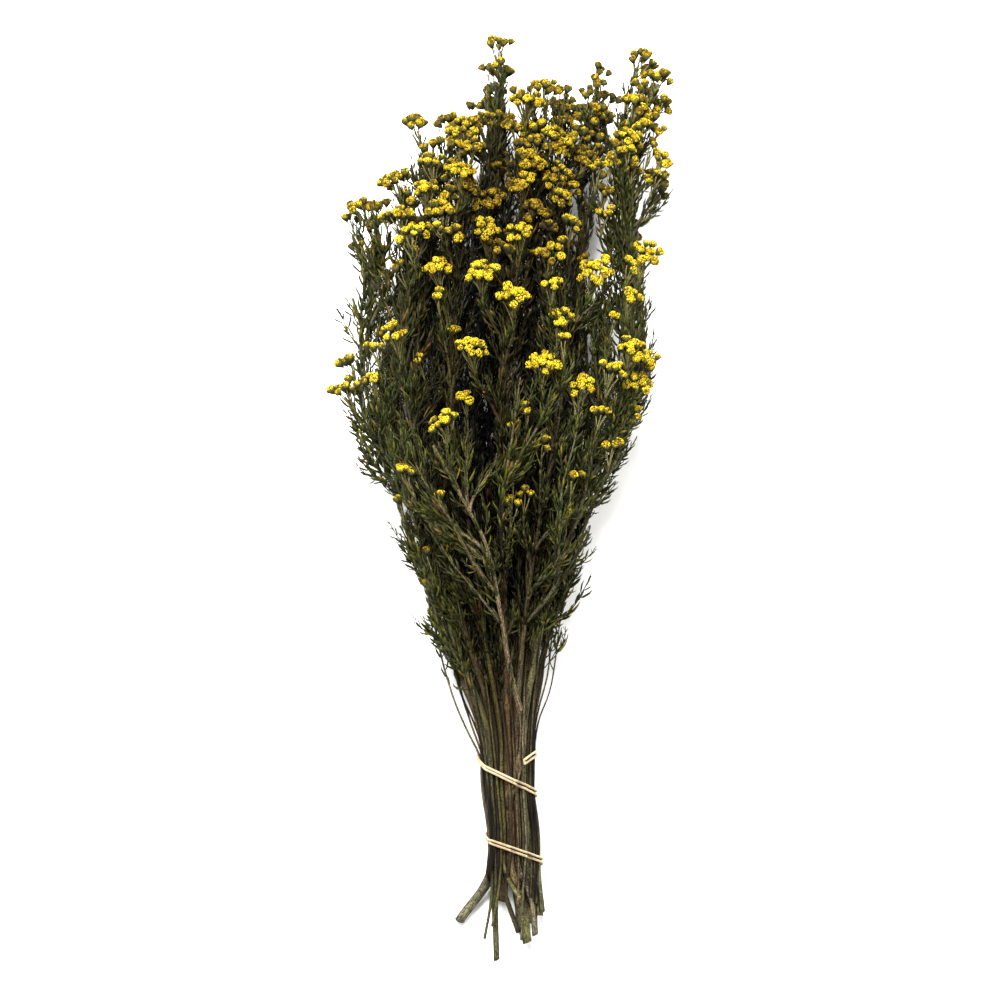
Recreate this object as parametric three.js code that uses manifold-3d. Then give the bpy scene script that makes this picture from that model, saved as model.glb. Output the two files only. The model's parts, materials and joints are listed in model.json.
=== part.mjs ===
// A tied bunch of dried phylica, lying on its back: millimetres, +Y to the flowers, +Z up.
// The origin is under the middle of the bunch, on the surface that it lies on.
import * as THREE from 'three';
import Module from 'manifold-3d';
import { mergeVertices } from 'three/addons/utils/BufferGeometryUtils.js';

const wasm = await Module();
wasm.setup();

// Driving dimensions
const GAP = 0.35;
const HEAD_RADIUS = 3.6;
const HEAD_HEIGHT = 3.6;
const HEAD_SHARE = 0.52;
const BLOOM_MIN_HEADS = 6;
const PEDUNCLE_RADIUS = 0.55;
const CUP_RADIUS = 1.3;
const SHOOT_ROOT_RADIUS = 1.5;
const SHOOT_TIP_RADIUS = 0.8;
const LEAF_LENGTH = 9;
const LEAF_WIDTH = 1.9;
const LEAF_THICKNESS = 0.9;
const LEAF_SPACING = 29;
const SHOOT_STEPS = 2;
const ROOT_PITCH = 2.2;
const HEAD_SINK = 1.6;
const RAY_RADIUS = 0.9;
const COLLAR = 5;
const CLOSE_PITCH = 1.6;
const OPEN_PITCH = 2.3;
const MIN_RISE = 34;
const FORK_MIN_Y = -150;
const FORK_LOW = 0.1;
const FORK_HIGH = 0.9;
const FORK_STEP = 0.04;
const SIDEWAYS_COST = 2.6;
const SLANT = 0.7;
const RESTING_Z = 2;
const LOWEST_TIP = 9;
const LEAF_LEAN = 0.62;
const GOLDEN_ANGLE = 2.39996;
const LOWER_TIE_Y = -225;
const UPPER_TIE_Y = -180;
const FAN_Y = 60;
const ROW_Z = { back: 14.5, middle: 20.7, front: 26.6 };
const TIE_DROP = 6;
const FOOT = 14;
const LOWER_MIDDLE_X = { back: 6, middle: 6, front: 3.5 };
const UPPER_MIDDLE_X = 1.5;
const ABOVE_TIE = 18;
const FAN_SHARES = [0.3, 0.55, 0.78, 1];
// The right side stays narrow longer than the left, and the bunch deepens a little late.
const RIGHT_BOW = 1.6;
const DEPTH_BOW = 1.1;
const STEM_TIP_RADIUS = 1;
const BRANCH_RADIUS = 2.1;
// A square section as large as the round one: its corners and its flats, for a radius of 1.
const CORNER = 1.3;
const FLAT = CORNER * Math.SQRT1_2;
const TWIG_SIDES = 3;
const STRAND_RADIUS = 0.7;
const STRAND_PITCH = 2;
const TIE_STEP = 24;
const TIE_CLEARANCE = 0.6;
const WOOD = 0x4a3a26;
const BLOOM_YELLOW = 0xe3c81c;
const TIE_CREAM = 0xe2d4b4;

// The stems, each row from left to right across the ties: radius at the ties, cut end, middle of its
// part of the fan at FAN_Y, and the corymbs that it carries as [x, y, z, heads], its leader first.
// A knee is where a stem bends between its cut end and the lower tie.
// Shoots with no heads are leafy ones.
const STEMS = [
  { name: 'stem_front_green', row: 'front', radius: 1.9, end: [-5, -299.5, 10], fan: [-82, 88],
    shoots: [[-84, 99, 112, 4], [-102, 75, 104, 8], [-101, 92, 90, 5], [-86, 80, 118, 4],
      [-68, 0, 78, 1], [-52, -50, 58, 2], [-62, -20, 72, 0], [-43, -60, 52, 1], [-94, 40, 98, 0]] },
  { name: 'stem_front_dark', row: 'front', radius: 1.5, end: [9, -281, 15], knee: [-1, -251, 17],
    fan: [-62, 94],
    shoots: [[-71, 208, 94, 10], [-69, 184, 110, 9], [-62, 170, 124, 6], [-51, 200, 108, 6],
      [-66, 150, 102, 2], [-72, 109, 112, 6], [-54, 93, 100, 2], [-50, -28, 66, 1]] },
  { name: 'stem_front_yellowish', row: 'front', radius: 1.4, end: [9.3, -257, 36], fan: [-34, 92],
    shoots: [[-27, 242, 88, 10], [-48, 220, 94, 6], [-42, 187, 104, 6], [-43, 151, 112, 7],
      [-29, 212, 104, 6], [-43, 130, 118, 3], [-33, 112, 104, 2], [-34, -27, 68, 3]] },
  { name: 'stem_front_forked', row: 'front', radius: 2.6, end: [8.5, -250, 19.3], fan: [-3, 98],
    shoots: [[11, 204, 98, 6], [-11, 174, 110, 6], [10, 172, 114, 6], [-16, 148, 124, 10],
      [7, 132, 124, 8], [-20, 101, 122, 10], [14, 60, 112, 3], [8, 50, 104, 2],
      [5, 14, 100, 2], [4, 0, 94, 4]],
    branch: { points: [[3.3, -203, 23], [3.6, -193, 29.8], [8, -178, 33], [12, -148, 40],
      [4, -112, 58], [-3, -70, 78], [-13, -25, 98], [-29, 5, 110], [-45, 35, 119]],
    shoots: [[-40, 54, 124, 8], [-63, 22, 112, 5], [-67, 51, 114, 0], [-25, 66, 110, 4],
      [-41, 8, 104, 2], [-5, 30, 108, 0]] } },
  { name: 'stem_front_grey', row: 'front', radius: 1.9, end: [20, -283, 15], knee: [17, -255, 18.5],
    fan: [36, 96],
    shoots: [[44, 179, 100, 5], [29, 160, 106, 6], [58, 149, 112, 11], [31, 137, 118, 4],
      [36, 118, 112, 6], [25, 90, 124, 9], [50, 76, 114, 6], [40, 105, 120, 2], [25, 38, 106, 3],
      [45, 18, 96, 3], [13, 7, 92, 3], [42, -4, 86, 1]] },
  { name: 'stem_front_olive', row: 'front', radius: 2.2, end: [23, -270, 18], knee: [21.8, -255, 17],
    fan: [76, 88],
    shoots: [[92, 159, 102, 8], [82, 150, 90, 4], [82, 132, 112, 5], [84, 99, 112, 11],
      [94, 92, 98, 4], [87, 77, 102, 8], [69, 86, 116, 6], [71, 119, 118, 2], [62, 60, 108, 4],
      [71, 37, 100, 3], [84, 58, 92, 3], [55, -16, 70, 0]] },
  { name: 'stem_middle_splayed', row: 'middle', radius: 3, end: [-29.5, -274.5, 3.4], fan: [-90, 58],
    shoots: [[-93, 192, 76, 7], [-100, 183, 62, 3], [-80, 190, 80, 3], [-95, 166, 62, 3],
      [-82, 160, 74, 4], [-98, 130, 66, 0], [-70, 30, 50, 0]] },
  { name: 'stem_middle_left', row: 'middle', radius: 2.6, end: [-6.5, -250, 10.5], fan: [-53, 62],
    shoots: [[-57, 246, 66, 6], [-45, 231, 76, 4], [-38, 247, 58, 5], [-60, 216, 60, 0],
      [-40, 130, 72, 0], [-60, 80, 66, 0]] },
  { name: 'stem_middle_inner_left', row: 'middle', radius: 2.4, end: [-0.5, -250, 12.6], fan: [-18, 64],
    shoots: [[-3, 296, 62, 6], [-22, 257, 66, 2], [-9, 258, 52, 4], [-12, 196, 80, 12],
      [-6, 216, 66, 4], [-14, 120, 82, 0], [-24, 70, 66, 0]] },
  { name: 'stem_middle_inner_right', row: 'middle', radius: 2.9, end: [15, -288, 10], fan: [18, 66],
    shoots: [[15, 261, 84, 10], [11, 232, 86, 3], [18, 224, 74, 4], [14, 160, 86, 5],
      [4, 148, 72, 4], [22, 110, 84, 0], [10, 60, 74, 0]] },
  { name: 'stem_middle_right', row: 'middle', radius: 2.8, end: [18, -262, 12], fan: [52, 64],
    shoots: [[29, 268, 70, 7], [30, 240, 84, 9], [46, 240, 68, 5], [56, 236, 58, 5],
      [37, 214, 88, 4], [43, 208, 72, 3], [33, 196, 82, 4], [52, 156, 82, 4], [48, 60, 74, 0]] },
  { name: 'stem_middle_far_right', row: 'middle', radius: 2.6, end: [24, -269, 11], fan: [86, 60],
    shoots: [[87, 256, 78, 8], [94, 250, 66, 4], [82, 234, 90, 8], [96, 228, 76, 3],
      [106, 217, 64, 1], [62, 213, 84, 3], [65, 199, 76, 4], [66, 186, 84, 4], [88, 110, 74, 0],
      [46, -42, 50, 0]] },
  { name: 'stem_back_far_left', row: 'back', radius: 2.4, end: [-7, -264, 2.1], fan: [-72, 26],
    shoots: [[-62, 196, 40, 5], [-74, 150, 26, 5], [-86, 118, 34, 4], [-76, 84, 0.5, 0],
      [-84, 60, 36, 0]] },
  { name: 'stem_back_left', row: 'back', radius: 2.8, end: [-1.2, -262, 2.45], fan: [-38, 28],
    shoots: [[-32, 202, 34, 6], [-50, 160, 20, 5], [-22, 132, 0.5, 0], [-36, 100, 40, 0]] },
  { name: 'stem_back_middle', row: 'back', radius: 2.6, end: [11, -281, 2.3], fan: [0, 30],
    shoots: [[-1, 280, 40, 6], [2, 182, 26, 6], [-10, 232, 36, 4], [8, 110, 42, 0]] },
  { name: 'stem_back_right', row: 'back', radius: 2.8, end: [17, -276, 2.45], fan: [38, 30],
    shoots: [[63, 280, 48, 4], [41, 266, 44, 4], [36, 172, 24, 5], [40, 128, 0.5, 0],
      [34, 90, 44, 0]] },
  { name: 'stem_back_far_right', row: 'back', radius: 2.4, end: [23, -262, 2.1], fan: [74, 30],
    shoots: [[89, 289, 52, 6], [100, 275, 64, 6], [56, 264, 60, 5], [70, 262, 42, 4],
      [82, 180, 26, 5], [72, 122, 22, 5], [76, 78, 0.5, 0], [78, 140, 46, 0]] },
];

// The two ties: each is one long elastic loop pulled to two strands and wound round the bundle.
// Its turns are [angle in degrees, y]: 0 is the right side, 90 the top, falling from right to left.
const TIES = [
  { name: 'tie_upper', turns: [[60, -169], [0, -164], [-90, -161], [-180, -168], [-270, -182],
    [-360, -191], [-430, -193]] },
  { name: 'tie_lower', turns: [[225, -215], [180, -218], [90, -226], [0, -234], [-90, -239],
    [-150, -241]] },
];

const vector = (x, y, z) => new THREE.Vector3(x, y, z);
const fromList = (list) => vector(...list);

// Seeded draw: the same seed gives the same run of numbers.
function draws(seed) {
  let state = Math.imul(seed + 1, 2654435761) >>> 0;
  return () => {
    state = (Math.imul(state, 1664525) + 1013904223) >>> 0;
    return state / 4294967296;
  };
}

// Two directions square to one along a path, with no twist from place to place.
function across(along) {
  const reference = Math.abs(along.z) > 0.8 ? vector(1, 0, 0) : vector(0, 0, 1);
  const side = vector(0, 0, 0).crossVectors(reference, along).normalize();
  const up = vector(0, 0, 0).crossVectors(along, side).normalize();
  return [side, up];
}

// A ring of points round a place, turned so that an edge or a corner is underneath.
function ring(place, along, radius, sides, turn = 0) {
  const [side, up] = across(along);
  const points = [];
  for (let i = 0; i < sides; i += 1) {
    const angle = turn + (2 * Math.PI * i) / sides;
    const out = side.clone().multiplyScalar(Math.cos(angle) * radius);
    out.addScaledVector(up, Math.sin(angle) * radius);
    points.push(place.clone().add(out));
  }
  return points;
}

// A closed solid skinned over rings of points; a ring of one point is a tip, and a loop has no ends.
function skin(rings, looped = false) {
  const positions = rings.flat().flatMap((point) => point.toArray());
  const index = [];
  let start = 0;
  rings.forEach((current, k) => {
    const next = rings[k + 1];
    if (!next) {
      return;
    }
    const after = start + current.length;
    const sides = Math.max(current.length, next.length);
    for (let i = 0; i < sides; i += 1) {
      const j = (i + 1) % sides;
      const a = start + (current.length === 1 ? 0 : i);
      const b = start + (current.length === 1 ? 0 : j);
      const c = after + (next.length === 1 ? 0 : i);
      const d = after + (next.length === 1 ? 0 : j);
      if (a !== b) {
        index.push(a, b, d);
      }
      if (c !== d) {
        index.push(a, d, c);
      }
    }
    start = after;
  });
  const last = rings.at(-1).length;
  const total = positions.length / 3;
  for (let i = 1; i < rings[0].length - 1 && !looped; i += 1) {
    index.push(0, i + 1, i);
  }
  for (let i = 1; i < last - 1 && !looped; i += 1) {
    index.push(total - last, total - last + i, total - last + i + 1);
  }
  const geometry = new THREE.BufferGeometry();
  geometry.setAttribute('position', new THREE.Float32BufferAttribute(positions, 3));
  geometry.setIndex(index);
  return geometry;
}

// A twig: it springs from a point inside the wood that carries it and is full size just outside.
function twig(places, radii, sides) {
  const along = places[1].clone().sub(places[0]).normalize();
  const collar = places[0].clone().addScaledVector(along, COLLAR);
  const rest = places.slice(1).map((place, k) => {
    const after = places[Math.min(k + 2, places.length - 1)];
    return ring(place, after.clone().sub(places[k]).normalize(), radii[k + 1], sides);
  });
  return skin([[places[0]], ring(collar, along, radii[0], sides), ...rest]);
}

// A tapered four-sided stem along a line of places, with a flat side underneath.
function trunk(places, radii) {
  const rings = places.map((place, k) => {
    const before = places[Math.max(k - 1, 0)];
    const after = places[Math.min(k + 1, places.length - 1)];
    return ring(place, after.clone().sub(before).normalize(), radii[k] * CORNER, 4, Math.PI / 4);
  });
  return skin(rings);
}

function solid(geometry) {
  geometry.deleteAttribute('normal');
  geometry.deleteAttribute('uv');
  const merged = mergeVertices(geometry, 1e-4);
  const mesh = new wasm.Mesh({
    numProp: 3,
    vertProperties: new Float32Array(merged.attributes.position.array),
    triVerts: new Uint32Array(merged.index.array),
  });
  return new wasm.Manifold(mesh);
}

function geometryOf(shape) {
  const mesh = shape.getMesh();
  const geometry = new THREE.BufferGeometry();
  geometry.setAttribute('position', new THREE.BufferAttribute(mesh.vertProperties, 3));
  geometry.setIndex(new THREE.BufferAttribute(mesh.triVerts, 1));
  return geometry;
}

const fuse = (geometries) => geometries.map(solid).reduce((sum, next) => sum.add(next));

// Room taken so far: short rods of [start, end, radius, owner], so that nothing grows through another.
const room = [];

function rodDistance(a, b, c, d) {
  const u = b.clone().sub(a);
  const v = d.clone().sub(c);
  const w = a.clone().sub(c);
  const uu = Math.max(u.dot(u), 1e-9);
  const vv = Math.max(v.dot(v), 1e-9);
  const uv = u.dot(v);
  const uw = u.dot(w);
  const vw = v.dot(w);
  const den = uu * vv - uv * uv;
  let s = den > 1e-9 ? THREE.MathUtils.clamp((uv * vw - vv * uw) / den, 0, 1) : 0;
  const t = THREE.MathUtils.clamp((uv * s + vw) / vv, 0, 1);
  s = THREE.MathUtils.clamp((uv * t - uw) / uu, 0, 1);
  return a.clone().addScaledVector(u, s).distanceTo(c.clone().addScaledVector(v, t));
}

// How deep a set of rods would stand in what belongs to other owners; 0 is clear.
function crowding(rods, limit = Infinity) {
  let worst = 0;
  for (const rod of rods) {
    for (const other of room) {
      if (other.owner === rod.owner) {
        continue;
      }
      const reach = rod.radius + other.radius + GAP;
      if (Math.abs(rod.a.y - other.a.y) > reach + rod.length + other.length) {
        continue;
      }
      const depth = reach - rodDistance(rod.a, rod.b, other.a, other.b);
      worst = Math.max(worst, depth);
      if (worst > limit) {
        return worst;
      }
    }
  }
  return worst;
}

function rod(a, b, radius, owner) {
  return { a, b, radius, owner, trunk: false, length: a.distanceTo(b) };
}

function rodsAlong(places, radii, owner) {
  const thick = (k) => Math.max(radii[k], radii[k + 1]);
  return places.slice(1).map((place, k) => rod(places[k], place, thick(k), owner));
}

// Where the stems of a row stand at a tie, side by side with a hair of room between them.
function rowPlaces(row, middle) {
  const radii = STEMS.filter((stem) => stem.row === row).map((stem) => stem.radius);
  const width = radii.reduce((sum, radius) => sum + 2 * radius + GAP, -GAP);
  let x = middle - width / 2;
  return radii.map((radius) => {
    const place = x + radius;
    x += 2 * radius + GAP;
    return place;
  });
}

// The line of a stem: cut end, its knee if it has one, the two ties, the fan, and its leading tip.
function stemLine(stem) {
  const order = STEMS.filter((other) => other.row === stem.row).indexOf(stem);
  const lower = rowPlaces(stem.row, LOWER_MIDDLE_X[stem.row])[order];
  const upper = rowPlaces(stem.row, UPPER_MIDDLE_X)[order];
  const level = ROW_Z[stem.row];
  const [endX, endY, endZ] = stem.end;
  const foot = [endX + ((lower - endX) * FOOT) / (LOWER_TIE_Y - endY), endY + FOOT, endZ];
  const startY = UPPER_TIE_Y + ABOVE_TIE;
  const places = [stem.end, ...(stem.knee ? [stem.knee] : []), ...(stem.row === 'back' ? [foot] : []),
    [lower, LOWER_TIE_Y - 14, level - TIE_DROP - 1], [lower, LOWER_TIE_Y + 5, level - TIE_DROP + 1],
    [upper, UPPER_TIE_Y, level], [upper, startY, level + 1]];
  const [fanX, fanZ] = stem.fan;
  const bow = fanX > upper ? RIGHT_BOW : 1;
  for (const share of FAN_SHARES) {
    const z = level + (fanZ - level) * share ** DEPTH_BOW;
    places.push([upper + (fanX - upper) * share ** bow, startY + (FAN_Y - startY) * share, z]);
  }
  const [x, y, z] = stem.shoots[0];
  places.push([(x + fanX) / 2, (FAN_Y + y) / 2, (z + fanZ) / 2 + 1]);
  return places.map(fromList);
}

// The place on a line of places at height y, with the line's direction there.
function placeAt(places, y) {
  let k = 0;
  while (k < places.length - 2 && places[k + 1].y < y) {
    k += 1;
  }
  const step = places[k + 1].clone().sub(places[k]);
  const share = THREE.MathUtils.clamp((y - places[k].y) / step.y, 0, 1);
  return [places[k].clone().addScaledVector(step, share), step.normalize()];
}

// A corymb looks outward from the middle of the bunch.
const corymbAxis = (tip) => vector(tip.x / 260, 1, (tip.z - 50) / 170).normalize();

// The nearest wood of the same stem from which a shoot can rise to its tip without turning sharply.
function forkFor(parents, tip) {
  let best = null;
  parents.forEach((places) => {
    for (let share = FORK_LOW; share < FORK_HIGH; share += FORK_STEP) {
      const y = THREE.MathUtils.lerp(places[0].y, places.at(-1).y, share);
      const [place, along] = placeAt(places, y);
      const rise = tip.y - place.y;
      const sideways = Math.hypot(tip.x - place.x, tip.z - place.z);
      if (rise < MIN_RISE || place.y < FORK_MIN_Y) {
        continue;
      }
      const cost = rise + SIDEWAYS_COST * sideways;
      if (!best || cost < best.cost) {
        best = { cost, place, along };
      }
    }
  });
  return best;
}

// The line of a shoot: it leaves its wood at a slant and ends along the corymb's axis.
function shootLine(parents, tip, steps) {
  const fork = forkFor(parents, tip);
  const root = fork.place;
  const slant = tip.clone().sub(root).normalize().multiplyScalar(SLANT);
  const along = slant.add(fork.along).normalize();
  const reach = root.distanceTo(tip) / 3;
  const lean = corymbAxis(tip);
  const end = tip.z < RESTING_Z ? vector(0, 1, 0) : lean;
  const curve = new THREE.CubicBezierCurve3(root, root.clone().addScaledVector(along, reach),
    tip.clone().addScaledVector(end, -reach), tip);
  return curve.getPoints(steps);
}

// The peduncles leave the last stretch of the shoot one above another.
function peduncleRoots(places, count) {
  const last = places.at(-1);
  const before = places.at(-2);
  const step = before.clone().sub(last).normalize().multiplyScalar(ROOT_PITCH);
  return Array.from({ length: count }, (_, i) => last.clone().addScaledVector(step, i + 0.4));
}

function taper(count, root, tip) {
  return Array.from({ length: count }, (_, k) => root + ((tip - root) * k) / (count - 1));
}

// The directions of the heads of a corymb: one in the middle and the rest evenly round it.
function headDirections(axis, heads, polar, turn) {
  const [side, up] = across(axis);
  const around = Array.from({ length: heads - 1 }, (_, i) => {
    const angle = turn + (2 * Math.PI * i) / (heads - 1);
    const out = side.clone().multiplyScalar(Math.cos(angle)).addScaledVector(up, Math.sin(angle));
    return axis.clone().multiplyScalar(Math.cos(polar)).addScaledVector(out, Math.sin(polar));
  });
  return [axis, ...around];
}

// The plan of a corymb: its fork, the distance out to its heads, their size and their directions.
function corymb(tip, heads, seed) {
  const close = heads >= BLOOM_MIN_HEADS;
  const shown = close ? Math.round(heads * HEAD_SHARE) : Math.max(1, Math.floor(heads * HEAD_SHARE));
  const radius = HEAD_RADIUS * (close ? Math.sqrt(heads / shown) / 1.3 : 1);
  const distance = 10 + 2 * radius;
  const apart = radius * (close ? CLOSE_PITCH : OPEN_PITCH);
  const axis = corymbAxis(tip);
  const fork = tip.clone().addScaledVector(axis, -distance);
  const rays = headDirections(axis, shown, apart / distance, draws(seed)() * 6);
  return { axis, fork, distance, radius, rays };
}

// One head: a low dome on a short cone, with a corner turned to the middle of its corymb.
function head(plan, ray) {
  const at = (distance) => plan.fork.clone().addScaledVector(ray, distance);
  const [side, up] = across(ray);
  const inward = plan.axis.clone().sub(ray);
  const turn = Math.atan2(inward.dot(up), inward.dot(side));
  const rim = ring(at(plan.distance + HEAD_SINK), ray, plan.radius, 5, turn);
  return skin([[at(plan.distance - HEAD_SINK)], rim, [at(plan.distance + HEAD_HEIGHT)]]);
}

// One peduncle with its flared cup, from below the fork to just under its head.
function peduncle(plan, ray, root) {
  const at = (distance) => plan.fork.clone().addScaledVector(ray, distance);
  const reach = plan.distance - HEAD_SINK - GAP;
  return skin([[root], ring(at(reach - 3), ray, PEDUNCLE_RADIUS, 3), ring(at(reach), ray, CUP_RADIUS, 3)]);
}

// A peduncle and its own single head as one piece.
function stalkedHead(plan, ray, root) {
  const at = (distance) => plan.fork.clone().addScaledVector(ray, distance);
  return skin([[root], ring(at(plan.distance - 2), ray, PEDUNCLE_RADIUS, 4),
    ring(at(plan.distance + HEAD_SINK), ray, HEAD_RADIUS * 0.9, 4),
    [at(plan.distance + HEAD_HEIGHT)]]);
}

// A lance-shaped leaf, keeled below, from its root in the middle of the twig to its tip.
function leaf(root, along, out) {
  const lean = along.clone().multiplyScalar(Math.cos(LEAF_LEAN));
  lean.addScaledVector(out, Math.sin(LEAF_LEAN));
  const flat = vector(0, 0, 0).crossVectors(along, out).normalize();
  const keel = vector(0, 0, 0).crossVectors(lean, flat).normalize();
  const middle = root.clone().addScaledVector(lean, LEAF_LENGTH * 0.45);
  const widest = [middle.clone().addScaledVector(flat, -LEAF_WIDTH / 2),
    middle.clone().addScaledVector(flat, LEAF_WIDTH / 2),
    middle.clone().addScaledVector(keel, LEAF_THICKNESS)];
  return skin([[root], widest, [root.clone().addScaledVector(lean, LEAF_LENGTH)]]);
}

// Leaves spiral up a twig, where they stand clear of what belongs to other stems.
function leaves(places, radii, owner, seed) {
  const draw = draws(seed);
  const found = [];
  let angle = draw() * 6;
  const startY = places[0].y + 14;
  const endY = places.at(-1).y - 6;
  for (let y = startY + draw() * 8; y < endY; y += LEAF_SPACING * (0.8 + 0.4 * draw())) {
    angle += GOLDEN_ANGLE;
    const [root, along] = placeAt(places, y);
    const [side, up] = across(along);
    const out = side.clone().multiplyScalar(Math.cos(angle)).addScaledVector(up, Math.sin(angle));
    const tip = root.clone().addScaledVector(along, LEAF_LENGTH * Math.cos(LEAF_LEAN));
    tip.addScaledVector(out, LEAF_LENGTH * Math.sin(LEAF_LEAN));
    const blade = rod(root, tip, LEAF_WIDTH / 2, owner);
    if (crowding([blade], 0) === 0 && tip.z > 0.5) {
      found.push(leaf(root, along, out));
      room.push(blade);
    }
  }
  return found;
}

// The tips tried for a shoot, the read place first and then small shifts from it.
const SHIFTS = [0, 5, -5, 10, -10, 15, -15, 21, -21];
const SIDE_SHIFTS = [0, 4, -4, 8, -8];

function plan(parents, row, owner, bloomOwner, seed) {
  const [x, y, z, heads] = row;
  const resting = z < RESTING_Z;
  let best = null;
  for (const aside of SIDE_SHIFTS) {
    for (const lift of resting ? [0] : SHIFTS) {
      const tip = vector(x + aside, y, Math.max(z + lift, resting ? z : LOWEST_TIP));
      const heading = heads > 0 ? corymb(tip, heads, seed) : null;
      const end = heading ? heading.fork : tip;
      const places = shootLine(parents, end, SHOOT_STEPS);
      const radii = taper(places.length, SHOOT_ROOT_RADIUS, SHOOT_TIP_RADIUS);
      const rods = rodsAlong(places, radii, owner);
      if (heading) {
        heading.rays.forEach((ray) => {
          const low = heading.fork.clone().addScaledVector(ray, heading.distance - 1);
          const high = heading.fork.clone().addScaledVector(ray, heading.distance + HEAD_SINK);
          rods.push(rod(heading.fork, low, RAY_RADIUS, owner));
          rods.push(rod(low, high, heading.radius, bloomOwner));
        });
      }
      const depth = crowdingOf(rods, owner, bloomOwner);
      if (!best || depth < best.depth) {
        best = { depth, tip, heading, places, radii, rods };
      }
      if (best.depth === 0) {
        return best;
      }
    }
  }
  return best;
}

// The rods of one corymb never hinder its own peduncles; all others do.
function crowdingOf(rods, owner, bloomOwner) {
  const own = rods.filter((item) => item.owner === owner);
  const bloom = rods.filter((item) => item.owner === bloomOwner && bloomOwner !== owner);
  return Math.max(crowding(own), crowding(bloom));
}

// The stems stand first, then the shoots grow between them, then the leaves.
const nodes = [];
let seed = 1;
let bloomCount = 0;

function growShoots(stem, parent, rows, parts) {
  const parents = [parent];
  rows.forEach((row) => {
    seed += 1;
    const close = row[3] >= BLOOM_MIN_HEADS;
    const bloomOwner = close ? `bloom_${String(bloomCount + 1).padStart(2, '0')}` : stem.name;
    const shoot = plan(parents, row, stem.name, bloomOwner, seed);
    if (shoot.depth > 0) {
      console.error('crowded', stem.name, row.join(' '), shoot.depth.toFixed(2));
    }
    room.push(...shoot.rods);
    parents.push(shoot.places);
    parts.push(twig(shoot.places, shoot.radii, TWIG_SIDES));
    stem.twigs.push({ places: shoot.places, radii: shoot.radii, seed });
    if (!shoot.heading) {
      return;
    }
    const { heading } = shoot;
    if (close) {
      bloomCount += 1;
      const heads = heading.rays.map((ray) => head(heading, ray));
      nodes.push({ name: bloomOwner, geometry: fuse(heads), colour: BLOOM_YELLOW });
      const rays = heading.rays.filter((_, i) => i % 3 === 0);
      const roots = peduncleRoots(shoot.places, rays.length);
      rays.forEach((ray, i) => parts.push(peduncle(heading, ray, roots[i])));
    } else {
      const roots = peduncleRoots(shoot.places, heading.rays.length);
      heading.rays.forEach((ray, i) => parts.push(stalkedHead(heading, ray, roots[i])));
    }
  });
}

STEMS.forEach((stem) => {
  stem.line = stemLine(stem);
  const level = stem.line.findIndex((place) => place.y > UPPER_TIE_Y);
  stem.radii = [...Array(level).fill(stem.radius),
    ...taper(stem.line.length - level, stem.radius, STEM_TIP_RADIUS)];
  stem.twigs = [];
  const trunks = rodsAlong(stem.line, stem.radii, stem.name);
  if (stem.branch) {
    stem.branch.line = stem.branch.points.map(fromList);
    stem.branch.radii = taper(stem.branch.line.length, BRANCH_RADIUS, SHOOT_ROOT_RADIUS);
    trunks.push(...rodsAlong(stem.branch.line, stem.branch.radii, stem.name));
  }
  room.push(...trunks.map((item) => ({ ...item, radius: item.radius * CORNER, trunk: true })));
});

STEMS.forEach((stem) => {
  stem.parts = [trunk(stem.line, stem.radii)];
  growShoots(stem, stem.line, stem.shoots, stem.parts);
  if (stem.branch) {
    stem.parts.push(trunk(stem.branch.line, stem.branch.radii));
    growShoots(stem, stem.branch.line, stem.branch.shoots, stem.parts);
  }
});

STEMS.forEach((stem) => {
  stem.twigs.forEach((twig) => {
    stem.parts.push(...leaves(twig.places, twig.radii, stem.name, twig.seed + 500));
  });
});

// The outermost place round the bundle in one direction, a strand's thickness clear of the wood.
function outline(y, degrees) {
  const angle = THREE.MathUtils.degToRad(degrees);
  const out = vector(Math.cos(angle), 0, Math.sin(angle));
  let far = null;
  room.filter((item) => item.trunk && item.a.y <= y && item.b.y >= y).forEach((item) => {
    const share = (y - item.a.y) / (item.b.y - item.a.y);
    const centre = item.a.clone().lerp(item.b, share);
    const half = (item.radius / CORNER) * FLAT;
    centre.add(vector(half * Math.sign(out.x), 0, half * Math.sign(out.z)));
    const reach = centre.dot(out);
    if (!far || reach > far.reach) {
      far = { reach, place: centre.addScaledVector(out, TIE_CLEARANCE + STRAND_RADIUS) };
    }
  });
  return far.place;
}

// A tie's height along the bundle at an angle of its turns.
function turnHeight(turns, degrees) {
  let k = 0;
  while (k < turns.length - 2 && turns[k + 1][0] > degrees) {
    k += 1;
  }
  const share = (turns[k][0] - degrees) / (turns[k][0] - turns[k + 1][0]);
  return THREE.MathUtils.lerp(turns[k][1], turns[k + 1][1], share);
}

// One tie: out along one strand, round its far end, and back along the other.
function tie({ turns }) {
  const first = turns[0][0];
  const last = turns.at(-1)[0];
  const steps = Math.round((first - last) / TIE_STEP);
  const strand = (shift) => Array.from({ length: steps + 1 }, (_, k) => {
    const degrees = first + ((last - first) * k) / steps;
    return outline(turnHeight(turns, degrees) + shift, degrees);
  });
  const loop = [...strand(STRAND_PITCH / 2), ...strand(-STRAND_PITCH / 2).reverse()];
  const rings = loop.map((place, k) => {
    const before = loop.at(k - 1);
    const after = loop[(k + 1) % loop.length];
    const along = after.clone().sub(before).normalize();
    const side = vector(0, k <= steps ? 1 : -1, 0);
    side.addScaledVector(along, -side.dot(along)).normalize();
    const up = vector(0, 0, 0).crossVectors(along, side).normalize();
    return Array.from({ length: TWIG_SIDES }, (_, i) => {
      const angle = (2 * Math.PI * i) / TWIG_SIDES;
      const corner = place.clone().addScaledVector(side, Math.cos(angle) * STRAND_RADIUS);
      return corner.addScaledVector(up, Math.sin(angle) * STRAND_RADIUS);
    });
  });
  return skin([...rings, rings[0]], true);
}

TIES.forEach((item) => nodes.push({ name: item.name, geometry: fuse([tie(item)]), colour: TIE_CREAM }));

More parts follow.
